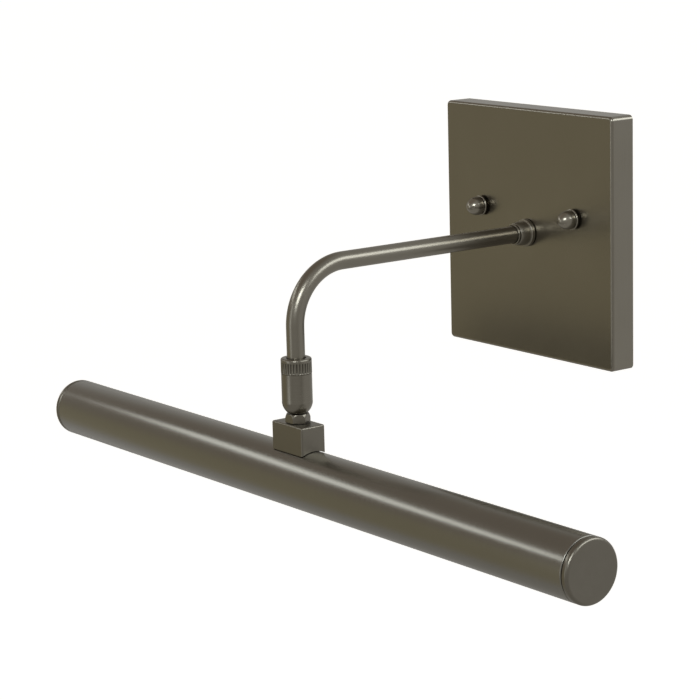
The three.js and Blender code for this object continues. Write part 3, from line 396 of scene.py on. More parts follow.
@dataclass(frozen=True)
class PlatedSteel:
    """Bright plating on small steel parts."""

    name: str = "zinc_steel"
    tone: Color = (0.60, 0.61, 0.60)
    deep: Color = (0.44, 0.45, 0.46)
    rough: float = 0.34

    def make(self, centre: Vector) -> Material:
        """Build the material.

        Args:
            centre: A point of the piece; it shifts the pattern.

        Returns:
            The material.
        """
        shader = Shader(self.name)
        spangle = shader.noise(shader.place(), 420.0, 5.0, 0.6)
        clouds = shader.noise(shader.place(), 90.0 + 20.0 * centre.x, 2.0, 0.5)
        body = shader.mix(spangle * 0.6 + clouds * 0.4, self.deep, self.tone)
        color = shader.mix(shader.edges() * 0.5, body, (0.78, 0.78, 0.77))
        return shader.done(color, self.rough + spangle * 0.14, spangle, 0.12, 0.00006)


@dataclass(frozen=True)
class TurnedBrass:
    """Plain brass as it comes off the lathe."""

    name: str = "plain_brass"
    grain: Grain = Grain.ROUND_Z

    def make(self, centre: Vector) -> Material:
        """Build the material.

        Args:
            centre: A point on the turning axis.

        Returns:
            The material.
        """
        shader = Shader(self.name)
        lines = shader.noise(grain_field(shader, self.grain, centre), 1.0, 3.0, 0.6)
        stains = shader.noise(shader.place(), 260.0, 4.0, 0.6).above(0.5, 0.25)
        body = shader.mix(lines, (0.48, 0.33, 0.12), (0.66, 0.50, 0.22))
        color = shader.mix(stains * 0.35, body, (0.30, 0.19, 0.08))
        return shader.done(color, 0.26 + lines * 0.12 + stains * 0.1, lines, 0.15, 0.00005)


@dataclass(frozen=True)
class Plastic:
    """Moulded plastic with a fine skin."""

    name: str
    tone: Color
    rough: float = 0.45
    skin: float = 1400.0

    def make(self, centre: Vector) -> Material:
        """Build the material.

        Args:
            centre: A point of the piece; it shifts the pattern.

        Returns:
            The material.
        """
        shader = Shader(self.name)
        grain = shader.noise(shader.place(), self.skin, 3.0, 0.6)
        clouds = shader.noise(shader.place(), 60.0 + 10.0 * centre.z, 2.0, 0.5)
        dark = tuple(part * 0.82 for part in self.tone)
        color = shader.mix(grain * 0.4 + clouds * 0.6, dark, self.tone)
        return shader.done(color, self.rough + grain * 0.12, grain, 0.10, 0.00005, metal=0.0)


@dataclass(frozen=True)
class Aluminium:
    """Drawn and anodised aluminium with die lines along X."""

    name: str = "anodised_aluminium"

    def make(self, centre: Vector) -> Material:
        """Build the material.

        Args:
            centre: A point of the piece.

        Returns:
            The material.
        """
        shader = Shader(self.name)
        lines = shader.noise(grain_field(shader, Grain.ALONG_X, centre), 1.0, 3.0, 0.55)
        body = shader.mix(lines, (0.58, 0.59, 0.60), (0.72, 0.73, 0.74))
        color = shader.mix(shader.edges() * 0.4, body, (0.82, 0.82, 0.83))
        return shader.done(color, 0.38 + lines * 0.1, lines, 0.12, 0.00004)


# --- mesh tools
class Axis(Enum):
    """Turning axis of a lathe piece; the profile's second number runs along it."""

    X = "x"
    Y = "y"
    Z = "z"

    def point(self, radius: float, along: float, angle: float) -> Vector:
        """A point on the turned surface."""
        u, v = radius * math.cos(angle), radius * math.sin(angle)
        return self.lift(u, v, along)

    def lift(self, u: float, v: float, along: float) -> Vector:
        """The point with these two places across the axis and this one along it."""
        return Vector({Axis.X: (along, u, v), Axis.Y: (u, along, v), Axis.Z: (u, v, along)}[self])


def eased(profile: Profile, steps: int = 4) -> list[tuple[float, float]]:
    """Round a profile's corners.

    Args:
        profile: Points (radius, along) with an optional third number, the corner's fillet.
        steps: Pieces in each fillet.

    Returns:
        Plain points.
    """
    out: list[tuple[float, float]] = []
    for i, item in enumerate(profile):
        fillet = item[2] if len(item) > 2 else 0.0
        here = Vector(item[:2])
        if fillet <= 0 or i in (0, len(profile) - 1):
            out.append((here.x, here.y))
            continue
        before, after = Vector(profile[i - 1][:2]), Vector(profile[i + 1][:2])
        into, away = (before - here).normalized(), (after - here).normalized()
        half = into.angle(away) / 2
        reach = min(fillet / math.tan(half), (before - here).length * 0.49, (after - here).length * 0.49)
        radius = reach * math.tan(half)
        centre = here + (into + away).normalized() * (radius / math.sin(half))
        first, last = here + into * reach - centre, here + away * reach - centre
        swing = first.angle_signed(last)
        for k in range(steps + 1):
            arm = first.copy()
            arm.rotate(Matrix.Rotation(-swing * k / steps, 2))
            out.append((centre.x + arm.x, centre.y + arm.y))
    return out


def skin(rings: Sequence[Ring], closed: bool = False) -> Mesh:
    """Join rings of points into one surface.

    Args:
        rings: Rings of one point or of equal numbers of points.
        closed: True if the last ring joins the first.

    Returns:
        The surface, facing out.
    """
    mesh = bmesh.new()
    verts = [[mesh.verts.new(point) for point in ring] for ring in rings]
    pairs = list(zip(verts, verts[1:]))
    if closed:
        pairs.append((verts[-1], verts[0]))
    for low, high in pairs:
        count = max(len(low), len(high))
        for i in range(count):
            corners = [
                low[i % len(low)], low[(i + 1) % len(low)], high[(i + 1) % len(high)], high[i % len(high)]
            ]
            unique = list(dict.fromkeys(corners))
            if len(unique) > 2:
                mesh.faces.new(unique)
    if not closed:
        for ring in (verts[0], verts[-1]):
            if len(ring) > 2:
                mesh.faces.new(ring)
    bmesh.ops.recalc_face_normals(mesh, faces=mesh.faces)
    return mesh


def piece(name: str, mesh: Mesh, smooth_below: float = SMOOTH_BELOW) -> Object:
    """Make an object of a surface.

    Args:
        name: The object's name.
        mesh: Its surface, which is used up.
        smooth_below: Edges flatter than this many degrees are shaded smooth.

    Returns:
        The object.
    """
    data = bpy.data.meshes.new(name)
    mesh.to_mesh(data)
    mesh.free()
    data.shade_smooth()
    data.set_sharp_from_angle(angle=math.radians(smooth_below))
    obj = bpy.data.objects.new(name, data)
    bpy.context.scene.collection.objects.link(obj)
    return obj


def turned(profile: Profile, axis: Axis, at: Vector, sides: int = 96, wave: Wave | None = None) -> Mesh:
    """Turn a profile round an axis.

    Args:
        profile: Points in millimetres; one that starts and ends on the axis is solid, any other is a ring.
        axis: The turning axis.
        at: A point on the axis, in metres.
        sides: Facets round it.
        wave: Changes a radius, given the radius, the place along the axis and the angle.

    Returns:
        The surface.
    """
    points = eased(profile)
    solid = points[0][0] == 0 and points[-1][0] == 0
    rings: list[Ring] = []
    for radius, along in points:
        count = 1 if radius == 0 else sides
        ring = []
        for i in range(count):
            angle = 2 * math.pi * i / sides
            out = wave(radius, along, angle) if wave and radius else radius
            ring.append(axis.point(out * MM, along * MM, angle) + at)
        rings.append(ring)
    return skin(rings, closed=not solid)


def swept(path: Sequence[Vector], radius: float, bore: float, sides: int) -> Mesh:
    """Round rod or tube along a path.

    Args:
        path: Points in metres.
        radius: Outer radius in metres.
        bore: Inner radius in metres, 0 for a solid rod.
        sides: Facets round it.

    Returns:
        The surface.
    """
    up = Vector((1, 0, 0)) if abs((path[1] - path[0]).normalized().x) < 0.9 else Vector((0, 0, 1))
    outer: list[Ring] = []
    inner: list[Ring] = []
    for i, point in enumerate(path):
        before, after = path[max(i - 1, 0)], path[min(i + 1, len(path) - 1)]
        into = (point - before).normalized() if i else (after - point).normalized()
        away = (after - point).normalized() if i < len(path) - 1 else into
        along = (into + away).normalized()
        side = (up - along * up.dot(along)).normalized()
        up = side
        other = along.cross(side)
        turn = [2 * math.pi * k / sides for k in range(sides)]
        outer.append([point + (side * math.cos(a) + other * math.sin(a)) * radius for a in turn])
        inner.append([point + (side * math.cos(a) + other * math.sin(a)) * bore for a in turn])
    if bore > 0:
        return skin(outer + inner[::-1], closed=True)
    return skin(outer)


def bent(corners: Sequence[Vector], radii: Sequence[float], steps: int) -> list[Vector]:
    """Straight stretches with round corners.

    Args:
        corners: The ends and the corners, in metres.
        radii: Bend radius at each inner corner, in metres.
        steps: Pieces in each bend.

    Returns:
        Points along the path.
    """
    path = [corners[0]]
    for i, radius in enumerate(radii, start=1):
        into = (corners[i] - corners[i - 1]).normalized()
        away = (corners[i + 1] - corners[i]).normalized()
        turn = into.angle(away)
        start = corners[i] - into * (radius * math.tan(turn / 2))
        inward = (away - into * math.cos(turn)).normalized()
        for k in range(steps + 1):
            angle = turn * k / steps
            path.append(start + inward * (radius * (1 - math.cos(angle))) + into * (radius * math.sin(angle)))
    path.append(corners[-1])
    return path


def rounded_outline(width: float, height: float, radius: float, steps: int) -> list[tuple[float, float]]:
    """Rectangle with round corners, centred on the origin.

    Args:
        width: Full width.
        height: Full height.
        radius: Corner radius.
        steps: Pieces in each corner.

    Returns:
        Points in order.
    """
    points = []
    for corner, (sx, sy) in enumerate(((1, 1), (-1, 1), (-1, -1), (1, -1))):
        for k in range(steps + 1):
            angle = math.pi / 2 * (corner + k / steps)
            x = sx * (width / 2 - radius) + radius * math.cos(angle)
            y = sy * (height / 2 - radius) + radius * math.sin(angle)
            points.append((x, y))
    return points


def prism(outline: Sequence[tuple[float, float]], axis: Axis, low: float, high: float) -> Mesh:
    """Carry an outline straight along an axis."""
    return skin([[axis.lift(*point, station) for point in outline] for station in (low, high)])


def bevelled(mesh: Mesh, width: float, segments: int = 3, limit: float = 30.0) -> Mesh:
    """Round a surface's sharp edges.

    Args:
        mesh: The surface.
        width: Bevel width in metres.
        segments: Pieces across a bevel.
        limit: Only edges sharper than this many degrees are rounded.

    Returns:
        The same surface.
    """
    sharp = [edge for edge in mesh.edges if edge.is_manifold and edge.calc_face_angle() > math.radians(limit)]
    bmesh.ops.bevel(
        mesh, geom=sharp, offset=width, segments=segments, profile=0.5, affect="EDGES", clamp_overlap=True
    )
    return mesh


def flattened(obj: Object) -> Object:
    """Shade a piece's flat faces flat and keep its rounds smooth.

    Args:
        obj: The piece.

    Returns:
        The same piece.
    """
    modifier = obj.modifiers.new("face_normals", "WEIGHTED_NORMAL")
    modifier.keep_sharp = True
    modifier.weight = 100
    return obj


def carved(obj: Object, *cutters: Mesh) -> Object:
    """Cut shapes out of a piece.

    Args:
        obj: The piece.
        *cutters: Closed surfaces, which are used up.

    Returns:
        The same piece.
    """
    for i, cutter in enumerate(cutters):
        tool = piece(f"cutter_{i}", cutter)
        modifier = obj.modifiers.new("cut", "BOOLEAN")
        modifier.operation = "DIFFERENCE"
        modifier.solver = "EXACT"
        modifier.object = tool
        graph = bpy.context.evaluated_depsgraph_get()
        made = bpy.data.meshes.new_from_object(obj.evaluated_get(graph))
        obj.modifiers.clear()
        obj.data = made
        bpy.data.objects.remove(tool)
    obj.data.shade_smooth()
    obj.data.set_sharp_from_angle(angle=math.radians(SMOOTH_BELOW))
    return obj


def middle(node: str) -> Vector:
    """Centre of a CAD node's box."""
    low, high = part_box(node)
    return (low + high) / 2


def rod(radius: float, bore: float, low: float, high: float, axis: Axis, at: Vector) -> Mesh:
    """Straight rod or tube with eased ends; at is in metres and the rest in millimetres."""
    profile = [(bore, low), (radius, low, 0.2), (radius, high, 0.2), (bore, high)]
    return turned(profile, axis, at, 64)


# --- shared part base
class Finish(Protocol):
    """Anything that can make a material."""

    def make(self, centre: Vector) -> Material:
        """Build the material for a piece round this point."""


@dataclass
class Part:
    """A sub-assembly that builds its pieces and dresses them."""

    frame: dict
    made: list[str] = field(default_factory=list, init=False)

    def add(self, obj: Object, finish: Finish, at: Vector, body: str, slot: str, *nodes: str) -> None:
        """Dress a piece and put it on its body in place of its CAD nodes.

        Args:
            obj: The piece.
            finish: Its finish.
            at: A point on its turning axis.
            body: The body it rides on.
            slot: The record's material slot; not used.
            *nodes: The CAD nodes it stands for.
        """
        obj.data.materials.clear()
        obj.data.materials.append(finish.make(at))
        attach(obj, body)
        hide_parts(*nodes)
        self.made.append(obj.name)

    def dress_node(self, node: str, finish: Finish) -> None:
        """Give a CAD node a finish and keep its shape.

        Args:
            node: The node's name.
            finish: Its finish.
        """
        obj = self.frame["nodes"][node]
        material = finish.make(middle(node))
        if obj.material_slots:
            for held in obj.material_slots:
                held.material = material
        else:
            obj.data.materials.append(material)
        self.made.append(node)


def hex_limit(across_flats: float) -> Wave:
    """Wave that trims a turned piece to a hexagon.

    Args:
        across_flats: Distance between two flats in millimetres.

    Returns:
        The wave for turned().
    """

    def trim(radius: float, along: float, angle: float) -> float:
        """Radius kept inside the hexagon."""
        off = math.fmod(angle, math.pi / 3) - math.pi / 6
        return min(radius, across_flats / 2 / math.cos(off))

    return trim


def thread(crest: float, pitch: float, depth: float) -> Wave:
    """Wave that cuts a screw thread.

    Args:
        crest: Radius of the crests in millimetres; smaller radii stay plain.
        pitch: The thread's pitch in millimetres.
        depth: Its depth in millimetres.

    Returns:
        The wave for turned().
    """

    def cut(radius: float, along: float, angle: float) -> float:
        """Radius with the thread cut in."""
        phase = math.fmod(along / pitch - angle / (2 * math.pi) + 1000.0, 1.0)
        return radius if radius < crest - 0.05 else radius - depth * abs(2 * phase - 1)

    return cut


def hex_nut(across_flats: float, bore: float, low: float, high: float, axis: Axis, at: Vector) -> Mesh:
    """Hexagonal nut with chamfered corners.

    Args:
        across_flats: Distance between two flats in millimetres.
        bore: Radius of its hole in millimetres.
        low: Where it starts along the axis, in millimetres.
        high: Where it ends, in millimetres.
        axis: The axis.
        at: A point on the axis, in metres.

    Returns:
        The surface.
    """
    corner = across_flats / math.sqrt(3)
    face = across_flats / 2 * 0.97
    drop = (corner - face) * 0.55
    profile = [
        (bore, low + 0.3), (bore + 0.3, low), (face, low), (corner, low + drop),
        (corner, high - drop), (face, high), (bore + 0.3, high), (bore, high - 0.3),
    ]
    return turned(profile, axis, at, 96, hex_limit(across_flats))


# --- cover plate and wall hardware
@dataclass
class CoverPlate(Part):
    """Square pan that covers the wall box, sizes in millimetres."""

    sheet: float = 1.2
    edge: float = 1.4
    corner: float = 2.2
    arm_hole: float = 5.2
    stud_hole: float = 2.35
    finish: SatinNickel = SatinNickel(Grain.FACE_X, "plate_nickel", rough=0.25)
    side_finish: SatinNickel = SatinNickel(Grain.ALONG_Z, "plate_side_nickel", rough=0.22)

    def ring(self, inset: float, y: float, width: float, height: float) -> Ring:
        """One outline of the pan.

        Args:
            inset: Distance in from the outside.
            y: Its place along Y, in millimetres.
            width: Outside width.
            height: Outside height.

        Returns:
            The outline's points in metres.
        """
        radius = max(self.corner - inset, 0.25)
        outline = rounded_outline(width - 2 * inset, height - 2 * inset, radius, 8)
        return [Vector((x * MM, y * MM, z * MM)) for x, z in outline]

    def build(self) -> None:
        """Make the pan and cut its holes."""
        low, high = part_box("back_plate")
        width, depth, height = ((high - low) / MM)[:]
        inside = depth - self.sheet
        rings = [
            self.ring(self.sheet + 0.9, -inside, width, height),
            self.ring(self.sheet + 0.3, -inside + 0.2, width, height),
            self.ring(self.sheet, -inside + 0.9, width, height),
            self.ring(self.sheet, -0.15, width, height),
            self.ring(self.sheet - 0.15, 0.0, width, height),
            self.ring(0.15, 0.0, width, height),
            self.ring(0.0, -0.15, width, height),
        ]
        for k in range(9):
            angle = math.pi / 2 * k / 8
            inset = self.edge * (1 - math.cos(angle))
            rings.append(self.ring(inset, -(depth - self.edge) - self.edge * math.sin(angle), width, height))
        plate = piece("cover_plate", skin(rings))
        cutters = [rod(self.arm_hole, 0, -depth - 2, 2, Axis.Y, ORIGIN)]
        for side in SIDES:
            at = middle(f"stud_{side}")
            cutters.append(rod(self.stud_hole, 0, -depth - 2, 2, Axis.Y, Vector((at.x, 0, at.z))))
        carved(plate, *cutters)
        flattened(plate)
        self.add(plate, self.finish, ORIGIN, "fixture", "satin_nickel", "back_plate")
        plate.data.materials.append(self.side_finish.make(ORIGIN))
        for face in plate.data.polygons:
            if abs(face.normal.x) > 0.8:
                face.material_index = 1


@dataclass
class WallHardware(Part):
    """Mounting bar, studs, nuts and ground screw behind the plate, sizes in millimetres."""

    bar_corner: float = 3.0
    stud_radius: float = 2.05
    stud_pitch: float = 0.8
    stud_depth: float = 0.32
    slot_length: float = 10.0
    slot_width: float = 5.0
    slot_margin: float = 8.55
    centre_hole: float = 4.8
    stud_hole: float = 2.35
    screw_hole: float = 2.7
    screw_shank: float = 2.4
    screw_head: float = 2.2
    steel: PlatedSteel = PlatedSteel()

    def build(self) -> None:
        """Make and dress every piece behind the plate."""
        self.build_bar()
        for side in SIDES:
            self.build_stud(side)
        self.build_ground_screw()

    def build_bar(self) -> None:
        """Make the pressed steel bar."""
        low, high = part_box("mounting_bar")
        at = (low + high) / 2
        size = (high - low) / MM
        outline = rounded_outline(size.x, size.z, self.bar_corner, 6)
        blank = prism([(x * MM, z * MM + at.z) for x, z in outline], Axis.Y, low.y, high.y)
        bar = piece("mounting_strap", bevelled(blank, 0.25 * MM, 2, 60))
        cutters = [rod(self.centre_hole, 0, -9, 9, Axis.Y, Vector((0, 0, at.z)))]
        holes = {"stud_left": self.stud_hole, "stud_right": self.stud_hole, "ground_screw": self.screw_hole}
        for node, radius in holes.items():
            cutters.append(rod(radius, 0, -9, 9, Axis.Y, Vector((middle(node).x, 0, at.z))))
        for side in (-1, 1):
            slot = rounded_outline(self.slot_length, self.slot_width, self.slot_width / 2 - 0.01, 6)
            shift = side * (size.x / 2 - self.slot_margin)
            points = [((x + shift) * MM, z * MM + at.z) for x, z in slot]
            cutters.append(prism(points, Axis.Y, -9 * MM, 9 * MM))
        flattened(carved(bar, *cutters))
        self.add(bar, self.steel, at, "fixture", "zinc_steel", "mounting_bar")

    def build_stud(self, side: str) -> None:
        """Make one threaded stud and its nut.

        Args:
            side: "left" or "right".
        """
        low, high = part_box(f"stud_{side}")
        at = Vector(((low.x + high.x) / 2, 0, (low.z + high.z) / 2))
        front, back = low.y / MM, high.y / MM
        count = int((back - front) / self.stud_pitch * 6)
        radius = self.stud_radius
        body = [(radius, front + 0.6 + (back - front - 0.9) * i / count) for i in range(count + 1)]
        profile = [(0, front), (radius - 0.6, front), *body, (radius - 0.3, back), (0, back)]
        cut = thread(radius, self.stud_pitch, self.stud_depth)
        stud = piece(f"threaded_stud_{side}", turned(profile, Axis.Y, at, 24, cut), 50)
        self.add(stud, self.steel, at, "fixture", "zinc_steel", f"stud_{side}")
        low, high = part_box(f"stud_nut_{side}")
        flats = (high.z - low.z) / MM
        nut = piece(f"bar_nut_{side}", hex_nut(flats, radius + 0.3, low.y / MM, high.y / MM, Axis.Y, at))
        self.add(nut, self.steel, at, "fixture", "zinc_steel", f"stud_nut_{side}")

    def build_ground_screw(self) -> None:
        """Make the green screw with its slotted head."""
        low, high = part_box("ground_screw")
        at = Vector(((low.x + high.x) / 2, 0, (low.z + high.z) / 2))
        front, back = low.y / MM, high.y / MM
        head = (high.x - low.x) / 2 / MM
        shank, under = self.screw_shank, front + self.screw_head
        profile = [
            (0, back), (shank - 0.4, back), (shank, back - 0.4), (shank, under),
            (head, under, 0.3), (head, front, 0.8), (0, front),
        ]
        screw = piece("ground_terminal_screw", turned(profile, Axis.Y, at, 64))
        corners = ((-1, -1), (1, -1), (1, 1), (-1, 1))
        outline = [(x * head * 1.2 * MM + at.x, z * 0.5 * MM + at.z) for x, z in corners]
        slot = prism(outline, Axis.Y, low.y - MM, low.y + MM)
        flattened(carved(screw, slot))
        green = Plastic("green_steel", (0.05, 0.22, 0.08), 0.3)
        self.add(screw, green, at, "fixture", "green_steel", "ground_screw")


@dataclass
class ThumbNuts(Part):
    """Two pointed cap nuts on the plate's front, sizes in millimetres."""

    neck: float = 3.4
    neck_length: float = 0.7
    rim: float = 4.75
    rim_length: float = 1.0
    groove: float = 3.8
    groove_length: float = 0.5
    body: float = 4.35
    bore: float = 2.35
    bore_depth: float = 5.0
    point: float = 2.1
    fullness: float = 0.62
    # painted light: the nuts' nickel is lightened by 1.15
    finish: SatinNickel = SatinNickel(Grain.ROUND_Y, "thumb_nut_nickel", rough=0.25, painted_light_scale=1.15)

    def build(self) -> None:
        """Make both nuts."""
        for side in SIDES:
            low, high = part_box(f"thumb_nut_{side}")
            at = Vector(((low.x + high.x) / 2, high.y, (low.z + high.z) / 2))
            length = (high.y - low.y) / MM
            nut = piece(f"cap_nut_{side}", turned(self.profile(length), Axis.Y, at, 72))
            self.add(nut, self.finish, at, f"thumb_nut_{side}_body", "satin_nickel", f"thumb_nut_{side}")

    def profile(self, length: float) -> list[tuple[float, ...]]:
        """The nut's outline.

        Args:
            length: Its whole length.

        Returns:
            Points (radius, along) with along falling towards the viewer.
        """
        start = self.neck_length + self.rim_length
        shoulder = start + self.groove_length
        nose = length - shoulder - 0.5
        curve = [
            (self.body * (1 - share**self.point) ** self.fullness, shoulder + 0.5 + nose * share)
            for share in (0, 0.1, 0.2, 0.3, 0.4, 0.5, 0.6, 0.7, 0.78, 0.85, 0.91, 0.95, 0.98)
        ]
        outside = [
            (0, self.bore_depth), (self.bore, self.bore_depth), (self.bore, 0), (self.neck, 0),
            (self.neck, self.neck_length), (self.rim, self.neck_length, 0.45), (self.rim, start, 0.45),
            (self.groove, start, 0.1), (self.groove, shoulder, 0.1), (self.body, shoulder, 0.25),
            *curve, (0, length),
        ]
        return [(item[0], -item[1], *item[2:]) for item in outside]


# --- arm and leads
@dataclass
class Arm(Part):
    """Bent tube with its collar, ring, nipple and leads, sizes in millimetres."""

    radius: float = 3.97
    wall: float = 0.95
    bend: float = 26.0
    gap: float = 0.3
    collar: float = 6.35
    collar_band: float = 2.0
    collar_edge: float = 0.6
    collar_neck: float = 5.55
    collar_top: float = 4.9
    nipple_front: float = 1.9
    nipple: float = 4.9
    nipple_bore: float = 4.27
    nipple_flats: float = 14.0
    nipple_pitch: float = 0.94
    nipple_depth: float = 0.28
    lead: float = 0.8
    lead_bends: tuple[float, float] = (1.8, 3.0)
    lead_end: float = 0.9
    tip: float = 3.0
    ribs: int = 18
    rib_depth: float = 0.22
    ring_rough: float = 0.33
    # painted light: the collar and ring's nickel is lightened by this factor
    ring_painted_light_scale: float = 1.1

    def build(self) -> None:
        """Make the arm and everything on it."""
        self.build_tube()
        self.build_collar()
        self.build_nipple()
        for side, name in ((-1, "white"), (1, "black")):
            self.build_lead(side, name)
        self.dress_node("nipple_washer", PlatedSteel("spring_steel", *SPRING_STEEL))
        self.dress_node("nipple_bushing", Plastic("white_nylon", (0.80, 0.78, 0.70)))

    def build_tube(self) -> None:
        """Make the bent tube."""
        low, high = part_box("arm_tube")
        down = low.y + self.radius * MM
        level = high.z - self.radius * MM
        corners = [Vector((0, high.y, level)), Vector((0, down, level)), Vector((0, down, low.z))]
        path = bent(corners, [self.bend * MM], 36)
        tube = piece("bent_arm", swept(path, self.radius * MM, (self.radius - self.wall) * MM, 64))
        finish = ArmNickel("arm_nickel", bend_y=down + self.bend * MM, bend_z=level - self.bend * MM)
        self.add(tube, finish, Vector((0, down, level)), "fixture", "satin_nickel", "arm_tube")

    def build_collar(self) -> None:
        """Make the collar and the small ring in front of it."""
        low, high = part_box("arm_collar")
        at = Vector((0, high.y, 0))
        length = (high.y - low.y) / MM
        shoulder = length - self.collar_band
        bore = self.radius + self.gap
        narrowing = self.collar_neck - self.collar_top
        curve = [
            (self.collar_neck - narrowing * (k / 12) ** 3, -self.collar_band - shoulder * k / 12)
            for k in range(1, 13)
        ]
        wide = self.nipple + self.gap
        step = -self.nipple_front - self.gap
        profile = [
            (wide, 0), (self.collar, 0, 0.3), (self.collar, -self.collar_band, self.collar_edge),
            (self.collar_neck, -self.collar_band, 0.12), *curve[:-1], (self.collar_top, -length, 0.25),
            (bore, -length), (bore, step), (wide, step),
        ]
        collar = piece("turned_collar", turned(profile, Axis.Y, at, 96))
        self.add(collar, self.ring_finish("collar_nickel"), at, "fixture", "satin_nickel", "arm_collar")
        low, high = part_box("arm_ferrule")
        outer = (high.z - low.z) / 2 / MM
        profile = [
            (bore, high.y / MM), (outer, high.y / MM, 0.4), (outer, low.y / MM, 0.6), (bore, low.y / MM)
        ]
        ring = piece("front_ring", turned(profile, Axis.Y, ORIGIN, 96))
        self.add(ring, self.ring_finish("ring_nickel"), ORIGIN, "fixture", "satin_nickel", "arm_ferrule")

    def ring_finish(self, name: str) -> SatinNickel:
        """Finish of the collar or the ring, lightened with painted light."""
        return SatinNickel(Grain.ROUND_Y, name, rough=self.ring_rough, painted_light_scale=self.ring_painted_light_scale)

    def build_nipple(self) -> None:
        """Make the threaded nipple and its nut."""
        low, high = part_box("arm_nipple")
        front, back = low.y / MM, high.y / MM
        count = int((back - front) * 7)
        turns = [(self.nipple, front + 0.3 + (back - front - 0.6) * i / count) for i in range(count + 1)]
        root = self.nipple - 0.3
        profile = [(self.nipple_bore, front), (root, front), *turns, (root, back), (self.nipple_bore, back)]
        cut = thread(self.nipple, self.nipple_pitch, self.nipple_depth)
        nipple = piece("threaded_nipple", turned(profile, Axis.Y, ORIGIN, 48, cut), 50)
        self.add(
            nipple, TurnedBrass("nipple_brass", Grain.ROUND_Y), ORIGIN, "fixture", "plain_brass", "arm_nipple"
        )
        low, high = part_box("nipple_nut")
        blank = hex_nut(self.nipple_flats, self.nipple + self.gap, low.y / MM, high.y / MM, Axis.Y, ORIGIN)
        nut = piece("plate_nut", blank)
        self.add(nut, PlatedSteel(), middle("nipple_nut"), "fixture", "zinc_steel", "nipple_nut")

    def build_lead(self, side: int, name: str) -> None:
        """Make one supply lead and its twist-on connector.

        Args:
            side: -1 for the left lead and 1 for the right one.
            name: The colour in the nodes' names.
        """
        low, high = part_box(f"supply_lead_{name}")
        r = self.lead * MM
        x = low.x + r if side > 0 else high.x - r
        far = high.x if side > 0 else low.x
        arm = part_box("arm_tube")
        down, level = arm[0].y + self.radius * MM, arm[1].z - self.radius * MM
        tail = middle(f"wire_connector_{name}")
        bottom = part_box("ball_stud")[1].z + self.lead_end * MM
        corners = [
            Vector((x, down, bottom)), Vector((x, down, level)), Vector((x, tail.y, level)),
            Vector((x, tail.y, tail.z)), Vector((far, tail.y, tail.z)),
        ]
        path = bent(corners, [bend * MM for bend in (self.bend, *self.lead_bends)], 14)
        tone = WHITE if name == "white" else BLACK
        sleeve = Plastic(f"{name}_lead_plastic", tone, 0.38)
        lead = piece(f"{name}_supply_wire", swept(path, r, 0, 16))
        self.add(lead, sleeve, tail, "fixture", f"{name}_plastic", f"supply_lead_{name}")
        self.build_connector(side, name, tone)

    def build_connector(self, side: int, name: str, tone: Color) -> None:
        """Make one ribbed twist-on connector.

        Args:
            side: -1 for the left one and 1 for the right one.
            name: The colour in the node's name.
            tone: Its colour.
        """
        low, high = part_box(f"wire_connector_{name}")
        at = (low + high) / 2
        at.x = low.x if side > 0 else high.x
        length = (high.x - low.x) / MM
        mouth = (high.z - low.z) / 2 / MM
        bore = self.lead + self.gap

        def ribbed(radius: float, along: float, angle: float) -> float:
            """Radius with the finger grooves cut in."""
            grooved = radius >= 2.4 and 5.4 < abs(along) < length - 2
            return radius - self.rib_depth * (0.5 + 0.5 * math.cos(self.ribs * angle)) * grooved

        shares = (0.04, 0.05, 0.3, 0.6, 0.95, 0.98)
        tip = self.tip
        body = [(mouth - (mouth - tip) * share, 5 + (length - 6.5) * share) for share in shares]
        outside = [
            (0, 9), (bore, 9), (bore, 6), (mouth - 1.2, 4), (mouth - 1.2, 0), (mouth, 0, 0.3),
            (mouth, 5, 0.4), *body, (tip, length - 1.5, 0.3), (tip - 1, length, 0.5), (0, length),
        ]
        profile = [(item[0], side * item[1], *item[2:]) for item in outside]
        cap = piece(f"{name}_twist_connector", turned(profile, Axis.X, at, 144, ribbed))
        finish = Plastic(f"{name}_connector_plastic", tone, 0.42)
        self.add(cap, finish, at, "fixture", f"{name}_plastic", f"wire_connector_{name}")


@dataclass(frozen=True)
class ArmNickel:
    """The nickel finish with lines that run round the arm's two straight stretches."""

    name: str
    bend_y: float
    bend_z: float
    base: SatinNickel = SatinNickel(Grain.ROUND_Y, rough=0.30, relief=0.01)

    def make(self, centre: Vector) -> Material:
        """Build the material.

        Args:
            centre: Where the axes of the two stretches cross.

        Returns:
            The material.
        """
        shader = Shader(self.name)
        level = shader.noise(grain_field(shader, Grain.ROUND_Y, centre), 1.0, 3.0, 0.6)
        upright = shader.noise(grain_field(shader, Grain.ROUND_Z, centre), 1.0, 3.0, 0.6)
        x, y, z = shader.parts(shader.place())
        turn = ((y - self.bend_y) - (z - self.bend_z)).above(-0.004, 0.008)
        lines = level * turn + upright * (1 - turn)
        clouds = shader.noise(shader.place(), 38.0, 3.0, 0.5)
        body = shader.mix(lines * 0.3 + clouds * 0.4 + 0.15, self.base.deep, self.base.tone)
        rough = self.base.rough - 0.03 + lines * 0.015 + clouds * 0.04
        return shader.done(body, rough, lines, self.base.relief, 0.00003)


